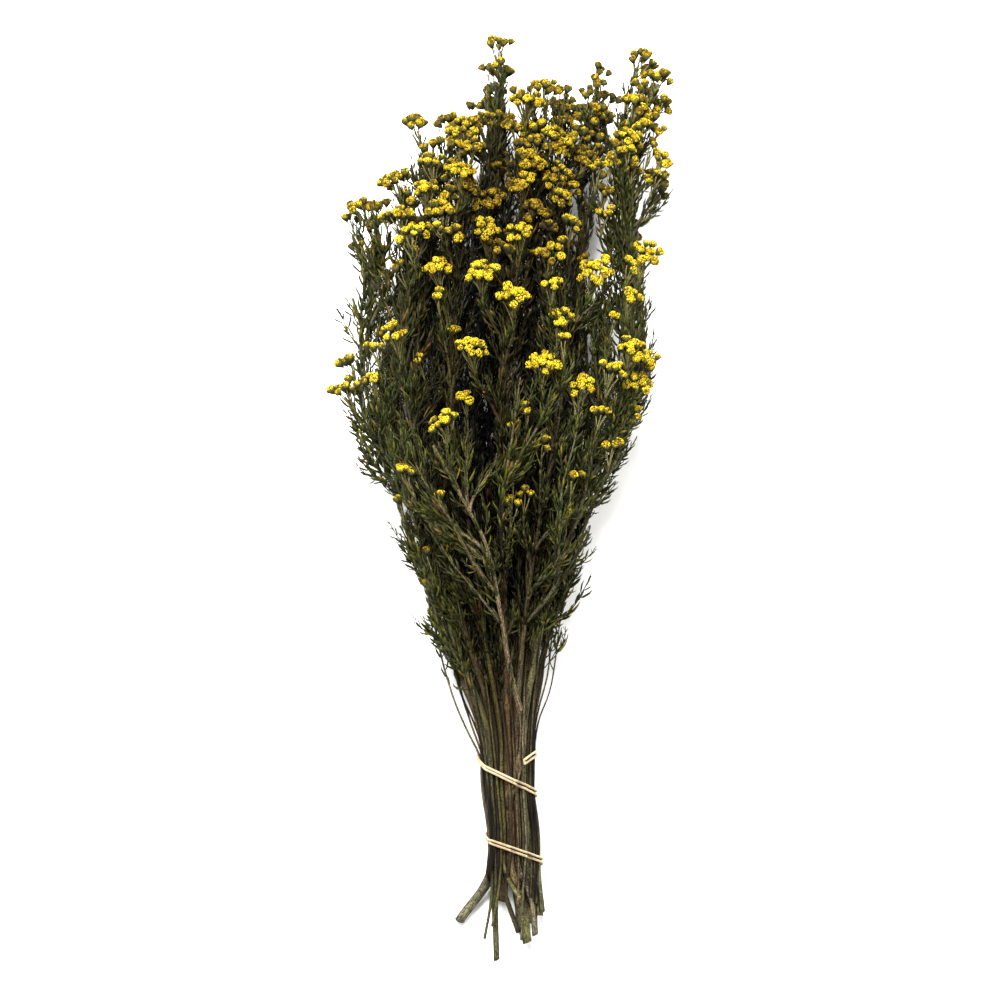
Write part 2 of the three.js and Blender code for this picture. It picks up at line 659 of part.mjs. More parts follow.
// What the bunch lies on: the undersides of its lowest twigs and cut ends are flat there.
const surface = new THREE.BoxGeometry(400, 800, 40);
surface.translate(0, 0, -20);

STEMS.forEach((stem) => {
  const shape = fuse(stem.parts).subtract(solid(surface.clone()));
  nodes.push({ name: stem.name, geometry: shape, colour: WOOD });
});

const bunch = new THREE.Group();
nodes.forEach((node) => {
  const material = new THREE.MeshStandardMaterial({ color: node.colour, roughness: 0.85, metalness: 0 });
  const mesh = new THREE.Mesh(geometryOf(node.geometry), material);
  mesh.name = node.name;
  bunch.add(mesh);
});

export default bunch;
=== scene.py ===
"""A dried phylica bunch: woody stems with leafy shoots and yellow flower heads, held by two elastic ties.

It lies on its back: +Y runs from the cut ends to the flowers and +Z up. Lengths are in millimetres
here and become metres where a mesh is made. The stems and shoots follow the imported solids' growth
rule: the same table, the same seeded draws and the same places.
"""
import json

import bpy
import numpy as np
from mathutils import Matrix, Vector

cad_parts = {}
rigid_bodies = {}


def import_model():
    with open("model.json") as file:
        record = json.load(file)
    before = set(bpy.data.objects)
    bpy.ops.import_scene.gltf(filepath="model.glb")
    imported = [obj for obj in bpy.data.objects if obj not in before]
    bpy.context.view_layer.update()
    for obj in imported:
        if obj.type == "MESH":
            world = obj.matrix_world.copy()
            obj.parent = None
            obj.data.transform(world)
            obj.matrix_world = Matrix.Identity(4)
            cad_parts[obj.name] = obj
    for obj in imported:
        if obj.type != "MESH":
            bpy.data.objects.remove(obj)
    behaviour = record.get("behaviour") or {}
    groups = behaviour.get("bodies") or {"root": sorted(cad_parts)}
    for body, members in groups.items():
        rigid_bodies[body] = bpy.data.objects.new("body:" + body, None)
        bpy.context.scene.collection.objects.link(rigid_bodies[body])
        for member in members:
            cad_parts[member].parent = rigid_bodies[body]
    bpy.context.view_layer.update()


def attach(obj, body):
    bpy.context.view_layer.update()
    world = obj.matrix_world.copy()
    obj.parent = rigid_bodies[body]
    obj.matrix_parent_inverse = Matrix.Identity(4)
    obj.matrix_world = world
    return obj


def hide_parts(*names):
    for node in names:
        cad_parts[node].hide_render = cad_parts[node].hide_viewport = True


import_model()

# Growth rule, as in the solids: corymbs, shoots, where the stems stand, and which tips are tried
GAP = 0.35
HEAD_RADIUS = 3.6
HEAD_SHARE = 0.52
CLOSE_HEAD_SHRINK = 1.3
BLOOM_MIN_HEADS = 6
CLOSE_PITCH = 1.6
OPEN_PITCH = 2.3
CORYMB_HEIGHT = 10
AXIS_MIDDLE_Z = 50
AXIS_FAR_X = 260
AXIS_FAR_Z = 170
STALK_RADIUS = 0.9
HEAD_ROD = (-1, 1.6)
SHOOT_ROOT_RADIUS = 1.5
SHOOT_TIP_RADIUS = 0.8
MIN_RISE = 34
FORK_MIN_Y = -150
FORK_SHARES = 0.1 + 0.04 * np.arange(20)
SIDEWAYS_COST = 2.6
SLANT = 0.7
LOWER_TIE_Y = -225
UPPER_TIE_Y = -180
BELOW_TIE = 14
OVER_TIE = 5
ABOVE_TIE = 18
FAN_SHARES = (0.3, 0.55, 0.78, 1)
RIGHT_BOW = 1.6
DEPTH_BOW = 1.1
FAN_Y = 60
ROW_Z = {"back": 14.5, "middle": 20.7, "front": 26.6}
TIE_DROP = 6
FOOT = 14
LOWER_MIDDLE_X = {"back": 6, "middle": 6, "front": 3.5}
UPPER_MIDDLE_X = 1.5
STEM_TIP_RADIUS = 1
BRANCH_RADIUS = 2.1
CORNER = 1.3
SHIFTS = [0, 5, -5, 10, -10, 15, -15, 21, -21]
SIDE_SHIFTS = [0, 4, -4, 8, -8]
LOWEST_TIP = 9
RESTING_Z = 2
LIFT = 1
STEEP = 0.8

# The bunch's form: level, middle x, half width, middle z, half height and how closed it is there, which sets
# how dark its painted shade gets
BUNCH_FORM = np.array([
    (-300, 0, 30, 20, 30, 0.2),
    (-185, 0, 26, 20, 28, 0.4),
    (-120, -3, 40, 28, 36, 0.5),
    (-40, -5, 58, 44, 50, 0.85),
    (60, -8, 88, 62, 64, 1),
    (170, -4, 100, 66, 66, 0.8),
    (230, 5, 90, 66, 64, 0.35),
    (290, 15, 80, 66, 60, 0),
], float)

# Wood that the solids draw coarsely or leave out
BARK_RADIUS = 1.04
SLIM_SHARE = 0.42
SLIM_FROM_Y = -150
SLIM_OVER = 160
YOUNG_FROM_Y = -60
YOUNG_OVER = 220
YOUNGEST = 0.8
STEM_SIDES = 14
SHOOT_SIDES = 8
TWIG_SIDES = 3
STEM_PLACES = 90
SHOOT_PLACES = 16
KNOTS_FROM = 8
KNOT_EVERY = 24
KNOT_SIZES = (0.05, 0.2)
KNOT_WIDTH = 2.6
KNEE_WIDTH = 3.2
KNEE_SWELL = 0.4
CREVICE = 1.9
CUT_SLOPE = 0.5
REST_GAP = 0.05
THIN_PLACES = 40
THIN_YOUNG = 0.15
THIN_TAPER = 0.5
FORK_YOUNG = 0.55
FORK_TAPER = 0.3
SMOOTHING = [0.1, 0.2, 0.4, 0.2, 0.1]
BEFORE_CUT = 6
SINK = 0.3

# Ripples of a stem's radius: their share of it, how many go round, and millimetres along a radian
RIPPLES = ((0.045, 3, 19), (0.03, 2, -31))

# Sprigs leave shoots, runners leave stems, and companions run beside shoots
SPRIG_PLACES = 6
SPRIG_EVERY = 24
SPRIG_MARGIN = 16
SPRIG_FIRST = 12
SPRIG_SIZES = (16, 34)
SPRIG_WAY = (0.94, 0.3)
SPRIG_TIP_WAY = (2, -0.2)
LOWEST_SPRIG_Y = -95
RUNNERS = {"front": 7, "middle": 11, "back": 14}
RUNNER_PLACES = 16
RUNNER_FIRST_Y = -185
RUNNER_LAST_Y = 70
RUNNER_JITTER = 12
RUNNER_RISES = (120, 200)
RUNNER_REACHES = (8, 20)
RUNNER_WAVES = (5, 9)
RUNNER_SWAY = [1.5, 0, 1.5]
RUNNER_FLATNESS = 0.8
RUNNER_END = 6
LEADER_OVERLAP = 2
RUNNER_INWARD_X = 70
RUNNER_INWARD_Z = (55, 60)
LOWEST_RUNNER_Z = 2.5
COMPANION_PLACES = 10
COMPANION_REACHES = (7, 15)
LEAST_REACH = 5
LEAST_TOP_REACH = 8
COMPANION_SPANS = [(0.1, 0.85), (0.45, 0.98)]
COMPANION_LATER = 0.15
COMPANION_ENDS = (-0.08, 0.02)
COMPANION_WAVES = 6
COMPANION_SWAY = [1.2, 0, 1.2]
TOP_SPAN = (0.55, 1.02)
TOP_SHOOTS_Y = 185
OPEN_GAP = ((43, 150), (63, 212))

# Each kind of twig: its radii and how young its bark is, both from root to tip, and its sides
TWIG_WOOD = {
    "shoots": ((1.2, 0.5), (0.1, 0.9), SHOOT_SIDES),
    "sprigs": ((0.5, 0.28), (0.5, 1), TWIG_SIDES),
    "runners": ((0.95, 0.35), (0.1, 0.9), TWIG_SIDES),
    "companions": ((0.65, 0.32), (0.3, 1), TWIG_SIDES),
}

# Spirals climb by the golden angle and start anywhere in TURN radians
GOLDEN_ANGLE = 2.39996
TURN = 6

# Leaves
LEAF_LENGTH = 10.5
LEAF_WIDTH = 2.1
LEAF_SPACING = 3.0
LEAF_SIZES = (0.75, 1.2)
LEAF_LEANS = (0.5, 1.1)
LEAF_BENDS = (0.3, 1.1)
LEAF_SCATTER = 0.35
LEAF_TWIST = 0.3
LEAF_SHARES = np.array([0.24, 0.66])
LEAF_WIDTHS = np.array([0.85, 0.9])
LEAF_SECTION = np.array([[-1, -0.3], [0, 0.7], [1, -0.3]])
LEAVES_FROM_Y = -110
THIN_LEAVES_FROM_Y = -130
LOWEST_LEAF_Y = {"left": -130, "right": -100}
LEAF_SIDE_X = 5
LEAF_CLEARANCE = 2.4
LEAF_NEAR_END = 14
LEAST_LEAF = 0.5
LOWEST_ROOT_Z = 1

# Leaves by what they grow on: bare millimetres at its root and at its tip, then the spacing and the
# size as shares of LEAF_SPACING and LEAF_LENGTH
LEAF_ROWS = {
    "shoots": (10, 1, 0.85, 1),
    "sprigs": (2, 0, 0.75, 0.8),
    "runners": (30, 1, 1, 1),
    "companions": (6, 0, 1, 1),
    "high": (22, 2, 1.1, 1),
    "uppers": (5, 2, 2, 1),
    "forks": (60, 0, 1, 1),
}
STALK_LEAVES = (2, 5, 2, 0.7)

# Flower heads; rings and profiles are (radius, height)
FLORETS = 12
FLORET_SIDES = 5
FLORET_RADIUS = 0.8
FLORET_RINGS = ((0.66, -0.8), (1, 0.12))
FLORET_ENDS = (-1.5, -0.45)
# How dark each floret is at its base point, lower ring, rim and sunken middle: the dark base is painted
# shade in the gaps between florets, the middle its ochre-brown eye
FLORET_EYE_AND_GAP_SHADE = (1, 0.7, 0, 0.9)
FLORET_SIZES = (0.7, 1.25)
FLORET_TILT = 0.16
FLORET_TWIST = 0.2
FLORET_DEPTHS = (0.85, 1.12)
FLORET_FADES = (-0.7, 0.3)
BLOSSOM_RADIUS = 3.4
DOME_ANGLE = 76
DOME_START = 0.3
DOME = (0.82, 0.82, 0.55)
EXTRA_HEADS = 1.55
CLOSE_SPIRAL = 2.95
OPEN_SPIRAL = 3.5
RAY_LENGTHS = (-4.2, 2.0)
TURNED = {"left": (-0.5, 0.25), "right": (-0.3, 0.8)}
TURNED_Z = 60
TURNED_OVER = 50
TURNED_ASIDE = 0.3
HEAD_SIZES = (0.8, 1.2)
SMALL_CORYMB_Y = 150
SMALL_CORYMB_Z = 14
SMALL_REACHES = (8, 11)
SMALL_HEADS = (3, 7)
SMALL_UPRIGHT = 0.8
LEFT_CORYMBS_X = -46
LEFT_SHARE = 0.22
# Painted light on the heads: brighter with height from this z on, over these millimetres, and a random tone
# in this range
BRIGHT_FROM_Z = 20
BRIGHT_OVER = 110
BRIGHTNESS = (-0.25, 0.35)

# Painted shade on heads from this x leftward, and duller heads from this y upward: where it starts, the
# millimetres it takes, and how much
LEFT_HEAD_SHADE = (-36, 20, 0.25)
DULL_TOP = (200, 30, 0.05)

# The cups under the heads and their stalks
CUP_SIDES = 6
CUP_PROFILE = np.array([[0.42, -3.8], [1.7, -2.1], [2.85, 0.1]])
CUP_SHARES = [0.15, 0.5, 1]
CUP_TEETH = (-0.25, 0.55)
CUP_TOP = 0.9
STALK_PLACES = 5
STALK_SIDES = 3
STALK_RADII = (0.6, 0.42)
STALK_STRETCH = (0.4, 12)
STALKS_SPREAD = 9
STALK_TIP = 3.3

# The ties' cord
STRAND_RADIUS = 0.75
STRAND_PITCH = 2.2
STRAND_SIDES = 10
STRANDS_APART = (1.05, 0.35)
RIPPLE_ROOM = 1.08
TIE_CLEARANCE = 0.2
TIE_STEP = 4

# The photograph's camera: millimetres a pixel, the middle of the frame, and a long lens above it
MM_PER_PIXEL = 0.642
FRAME_PIXELS = 1000
FRAME_MIDDLE = (-2.9, 0.3)
FRAME_HEIGHT = 65
LENS = 200
SENSOR = 36

# The studio in metres: each light's place, size and watts
KEY_LIGHT = ((-0.3, 0.95, 1.7), 1.0, 178)
FILL_LIGHT = ((1.0, -0.4, 1.7), 1.2, 34)
SKY_STRENGTH = 0.28
FLOOR_SIZE = 6

# The first stem's seed; each next stem has the next one
FIRST_SEED = 100

# The stems: row, radius at the ties, cut end, middle of its part of the fan, and its corymbs as
# (x, y, z, heads), the leader first. A shoot with no heads is a leafy one.
STEMS = [
    {
        "name": "stem_front_green", "row": "front", "radius": 1.9, "end": (-5, -299.5, 10),
        "fan": (-82, 88),
        "shoots": [(-84, 99, 112, 4), (-102, 75, 104, 8), (-101, 92, 90, 5), (-86, 80, 118, 4),
            (-68, 0, 78, 1), (-52, -50, 58, 2), (-62, -20, 72, 0), (-43, -60, 52, 1), (-94, 40, 98, 0)],
    },
    {
        "name": "stem_front_dark", "row": "front", "radius": 1.5, "end": (9, -281, 15),
        "knee": (-1, -251, 17), "fan": (-62, 94),
        "shoots": [(-71, 208, 94, 10), (-69, 184, 110, 9), (-62, 170, 124, 6), (-51, 200, 108, 6),
            (-66, 150, 102, 2), (-72, 109, 112, 6), (-54, 93, 100, 2), (-50, -28, 66, 1)],
    },
    {
        "name": "stem_front_yellowish", "row": "front", "radius": 1.4, "end": (9.3, -257, 36),
        "fan": (-34, 92),
        "shoots": [(-27, 242, 88, 10), (-48, 220, 94, 6), (-42, 187, 104, 6), (-43, 151, 112, 7),
            (-29, 212, 104, 6), (-43, 130, 118, 3), (-33, 112, 104, 2), (-34, -27, 68, 3)],
    },
    {
        "name": "stem_front_forked", "row": "front", "radius": 2.6, "end": (8.5, -250, 19.3),
        "fan": (-3, 98),
        "shoots": [(11, 204, 98, 6), (-11, 174, 110, 6), (10, 172, 114, 6), (-16, 148, 124, 10),
            (7, 132, 124, 8), (-20, 101, 122, 10), (14, 60, 112, 3), (8, 50, 104, 2), (5, 14, 100, 2),
            (4, 0, 94, 4)],
        "branch": {
            "points": [(3.3, -203, 23), (3.6, -193, 29.8), (8, -178, 33), (12, -148, 40), (4, -112, 58),
                (-3, -70, 78), (-13, -25, 98), (-29, 5, 110), (-45, 35, 119)],
            "shoots": [(-40, 54, 124, 8), (-63, 22, 112, 5), (-67, 51, 114, 0), (-25, 66, 110, 4),
                (-41, 8, 104, 2), (-5, 30, 108, 0)],
        },
    },
    {
        "name": "stem_front_grey", "row": "front", "radius": 1.9, "end": (20, -283, 15),
        "knee": (17, -255, 18.5), "fan": (36, 96),
        "shoots": [(44, 179, 100, 5), (29, 160, 106, 6), (58, 149, 112, 11), (31, 137, 118, 4),
            (36, 118, 112, 6), (25, 90, 124, 9), (50, 76, 114, 6), (40, 105, 120, 2), (25, 38, 106, 3),
            (45, 18, 96, 3), (13, 7, 92, 3), (42, -4, 86, 1)],
    },
    {
        "name": "stem_front_olive", "row": "front", "radius": 2.2, "end": (23, -270, 18),
        "knee": (21.8, -255, 17), "fan": (76, 88),
        "shoots": [(92, 159, 102, 8), (82, 150, 90, 4), (82, 132, 112, 5), (84, 99, 112, 11),
            (94, 92, 98, 4), (87, 77, 102, 8), (69, 86, 116, 6), (71, 119, 118, 2), (62, 60, 108, 4),
            (71, 37, 100, 3), (84, 58, 92, 3), (55, -16, 70, 0)],
    },
    {
        "name": "stem_middle_splayed", "row": "middle", "radius": 3, "end": (-29.5, -274.5, 3.4),
        "fan": (-90, 58),
        "shoots": [(-93, 192, 76, 7), (-100, 183, 62, 3), (-80, 190, 80, 3), (-95, 166, 62, 3),
            (-82, 160, 74, 4), (-98, 130, 66, 0), (-70, 30, 50, 0)],
    },
    {
        "name": "stem_middle_left", "row": "middle", "radius": 2.6, "end": (-6.5, -250, 10.5),
        "fan": (-53, 62),
        "shoots": [(-57, 246, 66, 6), (-45, 231, 76, 4), (-38, 247, 58, 5), (-60, 216, 60, 0),
            (-40, 130, 72, 0), (-60, 80, 66, 0)],
    },
    {
        "name": "stem_middle_inner_left", "row": "middle", "radius": 2.4, "end": (-0.5, -250, 12.6),
        "fan": (-18, 64),
        "shoots": [(-3, 296, 62, 6), (-22, 257, 66, 2), (-9, 258, 52, 4), (-12, 196, 80, 12),
            (-6, 216, 66, 4), (-14, 120, 82, 0), (-24, 70, 66, 0)],
    },
    {
        "name": "stem_middle_inner_right", "row": "middle", "radius": 2.9, "end": (15, -288, 10),
        "fan": (18, 66),
        "shoots": [(15, 261, 84, 10), (11, 232, 86, 3), (18, 224, 74, 4), (14, 160, 86, 5),
            (4, 148, 72, 4), (22, 110, 84, 0), (10, 60, 74, 0)],
    },
    {
        "name": "stem_middle_right", "row": "middle", "radius": 2.8, "end": (18, -262, 12),
        "fan": (52, 64),
        "shoots": [(29, 268, 70, 7), (30, 240, 84, 9), (46, 240, 68, 5), (56, 236, 58, 5),
            (37, 214, 88, 4), (43, 208, 72, 3), (33, 196, 82, 4), (52, 156, 82, 4), (48, 60, 74, 0)],
    },
    {
        "name": "stem_middle_far_right", "row": "middle", "radius": 2.6, "end": (24, -269, 11),
        "fan": (86, 60),
        "shoots": [(87, 256, 78, 8), (94, 250, 66, 4), (82, 234, 90, 8), (96, 228, 76, 3),
            (106, 217, 64, 1), (62, 213, 84, 3), (65, 199, 76, 4), (66, 186, 84, 4), (88, 110, 74, 0),
            (46, -42, 50, 0)],
    },
    {
        "name": "stem_back_far_left", "row": "back", "radius": 2.4, "end": (-7, -264, 2.1),
        "fan": (-72, 26),
        "shoots": [(-62, 196, 40, 5), (-74, 150, 26, 5), (-86, 118, 34, 4), (-76, 84, 0.5, 0),
            (-84, 60, 36, 0)],
    },
    {
        "name": "stem_back_left", "row": "back", "radius": 2.8, "end": (-1.2, -262, 2.45),
        "fan": (-38, 28),
        "shoots": [(-32, 202, 34, 6), (-50, 160, 20, 5), (-22, 132, 0.5, 0), (-36, 100, 40, 0)],
    },
    {
        "name": "stem_back_middle", "row": "back", "radius": 2.6, "end": (11, -281, 2.3), "fan": (0, 30),
        "shoots": [(-1, 280, 40, 6), (2, 182, 26, 6), (-10, 232, 36, 4), (8, 110, 42, 0)],
    },
    {
        "name": "stem_back_right", "row": "back", "radius": 2.8, "end": (17, -276, 2.45), "fan": (38, 30),
        "shoots": [(63, 280, 48, 4), (41, 266, 44, 4), (36, 172, 24, 5), (40, 128, 0.5, 0),
            (34, 90, 44, 0)],
    },
    {
        "name": "stem_back_far_right", "row": "back", "radius": 2.4, "end": (23, -262, 2.1),
        "fan": (74, 30),
        "shoots": [(89, 289, 52, 6), (100, 275, 64, 6), (56, 264, 60, 5), (70, 262, 42, 4),
            (82, 180, 26, 5), (72, 122, 22, 5), (76, 78, 0.5, 0), (78, 140, 46, 0)],
    },
]

# Thin twigs caught in front of the stems: the stem whose bark they share, radius, points from the
# cut end upward as (x, y)
THIN_STEMS = [
    ("stem_front_green", 1.0, [(-13, -285), (-9, -262), (-8, -228), (-11, -180), (-24, -100), (-36, -30)]),
    ("stem_front_yellowish", 0.9, [(-8, -277), (-4, -255), (-2, -225), (-5, -180), (-14, -105), (-30, -20)]),
    ("stem_front_dark", 1.1, [(9.5, -281), (2, -262), (4, -225), (3, -180), (-4, -110), (-10, -30)]),
    ("stem_front_forked", 0.8, [(8, -270), (9, -250), (9, -225), (7, -180), (4, -110), (8, -30)]),
    ("stem_front_grey", 0.9, [(11, -286), (12, -255), (14, -225), (12, -180), (14, -105), (22, -30)]),
    ("stem_front_olive", 0.9, [(21, -262), (20, -240), (19, -222), (17, -180), (21, -110), (34, -30)]),
    ("stem_middle_right", 0.8, [(24, -268), (23, -245), (22.5, -225), (18, -180), (21.5, -138),
        (27.5, -115), (31, -85), (34, -58), (44, -20)]),
    ("stem_middle_far_right", 0.75, [(20, -262), (21, -225), (19, -180), (22.5, -142), (29, -125),
        (33, -103), (35, -85), (39, -62), (45, -38)]),
    ("stem_back_far_right", 0.75, [(17, -258), (18, -225), (18, -180), (20, -140), (24, -120),
        (26.5, -95), (28, -60), (36, -10)]),
    ("stem_middle_splayed", 1.0, [(-12, -248), (-10, -228), (-14, -180), (-15.5, -168), (-23.5, -151),
        (-31, -134), (-37, -116), (-43, -92), (-52, -40)]),
    ("stem_middle_left", 0.9, [(-11, -246), (-9, -225), (-13, -180), (-14.5, -166), (-20, -150),
        (-26, -132), (-31, -112), (-38, -80), (-46, -30)]),
    ("stem_back_left", 0.9, [(-9, -244), (-8, -225), (-12, -180), (-13.5, -166), (-17, -150),
        (-22, -130), (-27, -108), (-35, -70), (-43, -20)]),
    ("stem_back_far_left", 0.9, [(-8, -240), (-7, -225), (-12, -178), (-14.5, -160), (-20, -144),
        (-28, -126), (-34, -104), (-41, -76), (-49, -30)]),
]

# Forks in front of the leaves, bare but for their tips: the stem, which of its trunks and at what y
# they leave it, radius, points (x, y, z)
FRONT_FORKS = [
    ("stem_front_forked", 1, -60, 1.3, [(-18, -42, 97), (-36, -10, 111), (-54, 18, 114), (-63, 44, 110)]),
    ("stem_front_forked", 1, -80, 0.9, [(-16, -61, 86), (-36, -36, 94), (-50, -8, 98)]),
    ("stem_front_forked", 0, -45, 1.6, [(-2, -25, 86), (-1, 5, 104), (3, 28, 112), (6, 49, 116),
        (10, 78, 117)]),
    ("stem_front_forked", 0, -45, 1.4, [(-2, -25, 86), (-1, 5, 104), (10, 28, 113), (22, 48, 118),
        (33, 66, 119), (44, 88, 118)]),
    ("stem_front_grey", 0, -80, 1.3, [(32, -55, 66), (35, -20, 86), (37, 10, 98), (45, 40, 106),
        (48, 70, 110)]),
]

# Leafy twigs that fill the middle of the bunch: the stem whose bark they share, points (x, y, z)
INNER_TWIGS = [
    ("stem_back_middle", [(2, -130, 22), (-7, -40, 28), (-9, 30, 36), (-7, 110, 46)]),
    ("stem_back_middle", [(6, -120, 20), (-2, -30, 34), (-5, 60, 50), (-1, 150, 60)]),
    ("stem_back_left", [(-2, -120, 20), (-14, -30, 26), (-16, 50, 34), (-14, 130, 40)]),
    ("stem_back_right", [(8, -120, 20), (20, -20, 28), (26, 70, 34), (26, 170, 44)]),
    ("stem_back_right", [(8, -90, 24), (12, 0, 40), (22, 100, 52), (24, 200, 58)]),
    ("stem_back_far_right", [(14, -110, 22), (34, -10, 30), (46, 80, 38), (48, 170, 46)]),
    ("stem_back_far_left", [(-10, -120, 22), (-34, -20, 30), (-44, 70, 36), (-42, 160, 44)]),
    ("stem_back_far_right", [(22, -90, 30), (50, 10, 40), (62, 80, 46), (66, 150, 50)]),
    ("stem_middle_right", [(18, -90, 40), (46, 10, 56), (58, 80, 66), (60, 140, 70)]),
    ("stem_front_green", [(-40, 20, 70), (-62, 90, 80), (-76, 150, 84), (-84, 195, 84)]),
    ("stem_front_dark", [(-44, 40, 76), (-58, 100, 84), (-62, 150, 88), (-66, 200, 88)]),
    ("stem_front_dark", [(-50, 60, 80), (-74, 120, 86), (-88, 160, 88), (-95, 188, 88)]),
    ("stem_middle_splayed", [(-60, 40, 56), (-80, 110, 62), (-92, 150, 64), (-99, 182, 64)]),
    ("stem_middle_left", [(-36, 40, 60), (-46, 120, 66), (-50, 180, 68), (-54, 215, 68)]),
    ("stem_middle_left", [(-30, 100, 64), (-34, 160, 68), (-38, 210, 68), (-42, 240, 66)]),
    ("stem_middle_inner_right", [(10, 120, 70), (14, 180, 74), (20, 220, 76), (24, 252, 76)]),
    ("stem_middle_right", [(30, 120, 70), (34, 180, 74), (36, 220, 74), (38, 256, 72)]),
    ("stem_middle_far_right", [(60, 110, 66), (68, 170, 72), (72, 220, 76), (76, 256, 76)]),
    ("stem_back_far_right", [(70, 150, 56), (82, 200, 60), (90, 240, 62), (94, 268, 62)]),
    ("stem_back_right", [(44, 120, 50), (54, 190, 52), (60, 240, 52), (62, 268, 50)]),
]

# Each bark's dark, light and streak colours and its green when young, then each stem's bark
BARKS = {
    "dark": ("#15100a", "#33271a", "#52412c", "#2e2e16"),
    "brown": ("#231a10", "#64503a", "#9c8360", "#3a371a"),
    "olive": ("#1f1d10", "#505032", "#7c7a50", "#37391a"),
    "yellow_green": ("#2a2a12", "#5d5c30", "#8a8654", "#47481e"),
    "grey": ("#25221a", "#5e594a", "#9c927a", "#393a1e"),
    "green": ("#1a1c0e", "#43472a", "#6e7244", "#313719"),
}
BARK_OF = {
    "stem_front_green": "green", "stem_front_dark": "dark", "stem_front_yellowish": "yellow_green",
    "stem_front_forked": "brown", "stem_front_grey": "grey", "stem_front_olive": "olive",
    "stem_middle_splayed": "grey", "stem_middle_left": "brown", "stem_middle_inner_left": "dark",
    "stem_middle_inner_right": "yellow_green", "stem_middle_right": "olive",
    "stem_middle_far_right": "dark", "stem_back_far_left": "dark", "stem_back_left": "brown",
    "stem_back_middle": "green", "stem_back_right": "brown", "stem_back_far_right": "dark",
}

# The two ties' turns as (angle in degrees, y): 0 is the right side and 90 the top
TIES = {
    "tie_upper": [(60, -169), (0, -164), (-90, -161), (-180, -167), (-225, -171.7), (-270, -182.4),
        (-315, -187.3), (-360, -190), (-430, -192.5)],
    "tie_lower": [(225, -215), (180, -218), (90, -226), (0, -234), (-90, -239), (-150, -241)],
}


# Directions and lines


def unit(vectors):
    """Each vector divided by its length."""
    return vectors / np.maximum(np.linalg.norm(vectors, axis=-1, keepdims=True), 1e-9)


def across(along):
    """Two directions square to each direction: side = reference x along, up = along x side."""
    along = np.asarray(along)
    steep = np.abs(along[..., 2:3]) > STEEP
    reference = np.where(steep, [1.0, 0, 0], [0, 0, 1.0])
    side = unit(np.cross(reference, along))
    return side, unit(np.cross(along, side))


def turned(side, up, angles):
    """The direction at each angle from side towards up."""
    return np.cos(angles)[:, None] * side + np.sin(angles)[:, None] * up


def circle(sides):
    """The cosines and sines of even angles round a circle."""
    angles = 2 * np.pi * np.arange(sides) / sides
    return np.cos(angles), np.sin(angles)


def spokes(side, up, sides):
    """Even directions round every place: cos * side + sin * up."""
    cosine, sine = circle(sides)
    return cosine[:, None] * side[..., None, :] + sine[:, None] * up[..., None, :]


def directions(paths):
    """The direction at each place of each path: from the place before to the place after it."""
    before = np.concatenate([paths[..., :1, :], paths[..., :-1, :]], axis=-2)
    after = np.concatenate([paths[..., 1:, :], paths[..., -1:, :]], axis=-2)
    return unit(after - before)


def lengths_along(path):
    """The distance from the start of a path to each of its places."""
    steps = np.linalg.norm(np.diff(path, axis=0), axis=1)
    return np.concatenate([[0], np.cumsum(steps)])


def at_distance(path, values, distances):
    """Values given at the places of a path, read at distances along it by straight interpolation."""
    so_far = lengths_along(path)
    columns = [np.interp(distances, so_far, column) for column in np.atleast_2d(values.T)]
    return np.stack(columns, axis=-1) if values.ndim > 1 else columns[0]


def stations(path, distances):
    """At distances along a path: the places, the ways there, and two directions square to each."""
    along = unit(at_distance(path, directions(path), distances))
    return at_distance(path, path, distances), along, *across(along)


def smooth_line(places, radii, count):
    """A smooth line through places, and its radii: cubic Hermite spans whose slopes join each
    place's neighbours, read at even distances."""
    so_far = lengths_along(places)
    points = np.column_stack([places, radii])
    slopes = np.gradient(points, so_far, axis=0)
    place = np.linspace(0, so_far[-1], count)
    span = np.clip(np.searchsorted(so_far, place, side="right") - 1, 0, len(points) - 2)
    width = (so_far[span + 1] - so_far[span])[:, None]
    t = (place - so_far[span])[:, None] / width
    line = ((2 * t**3 - 3 * t**2 + 1) * points[span] + (t**3 - 2 * t**2 + t) * width * slopes[span]
        + (3 * t**2 - 2 * t**3) * points[span + 1] + (t**3 - t**2) * width * slopes[span + 1])
    return line[:, :3], line[:, 3]


def smoothed(points, count):
    """A smooth line through points."""
    return smooth_line(np.array(points, float), np.ones(len(points)), count)[0]


def bezier(root, root_way, tip, tip_way, count):
    """Cubic Bezier from root to tip with handles a third of the distance long, at even shares."""
    reach = np.linalg.norm(tip - root) / 3
    t = np.linspace(0, 1, count)[:, None]
    return ((1 - t)**3 * root + 3 * t * (1 - t)**2 * (root + reach * root_way)
        + 3 * t**2 * (1 - t) * (tip - reach * tip_way) + t**3 * tip)


def place_at(places, y):
    """The place on a line of places at height y, with the line's direction there."""
    k = int(np.clip(np.searchsorted(places[1:-1, 1], y), 0, len(places) - 2))
    step = places[k + 1] - places[k]
    share = np.clip((y - places[k, 1]) / step[1], 0, 1)
    return places[k] + share * step, unit(step)


# Growth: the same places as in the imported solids


def draws(seed):
    """Seeded draws from 0 to 1: state = state * 1664525 + 1013904223, in 32 bits."""
    state = (seed + 1) * 2654435761 % 2**32
    while True:
        state = (state * 1664525 + 1013904223) % 2**32
        yield state / 2**32


def row_places(row, middle):
    """Where a row's stems stand at a tie, side by side: running sums of their widths."""
    radii = np.array([stem["radius"] for stem in STEMS if stem["row"] == row])
    widths = 2 * radii + GAP
    return middle - (widths.sum() - GAP) / 2 + np.cumsum(widths) - widths + radii


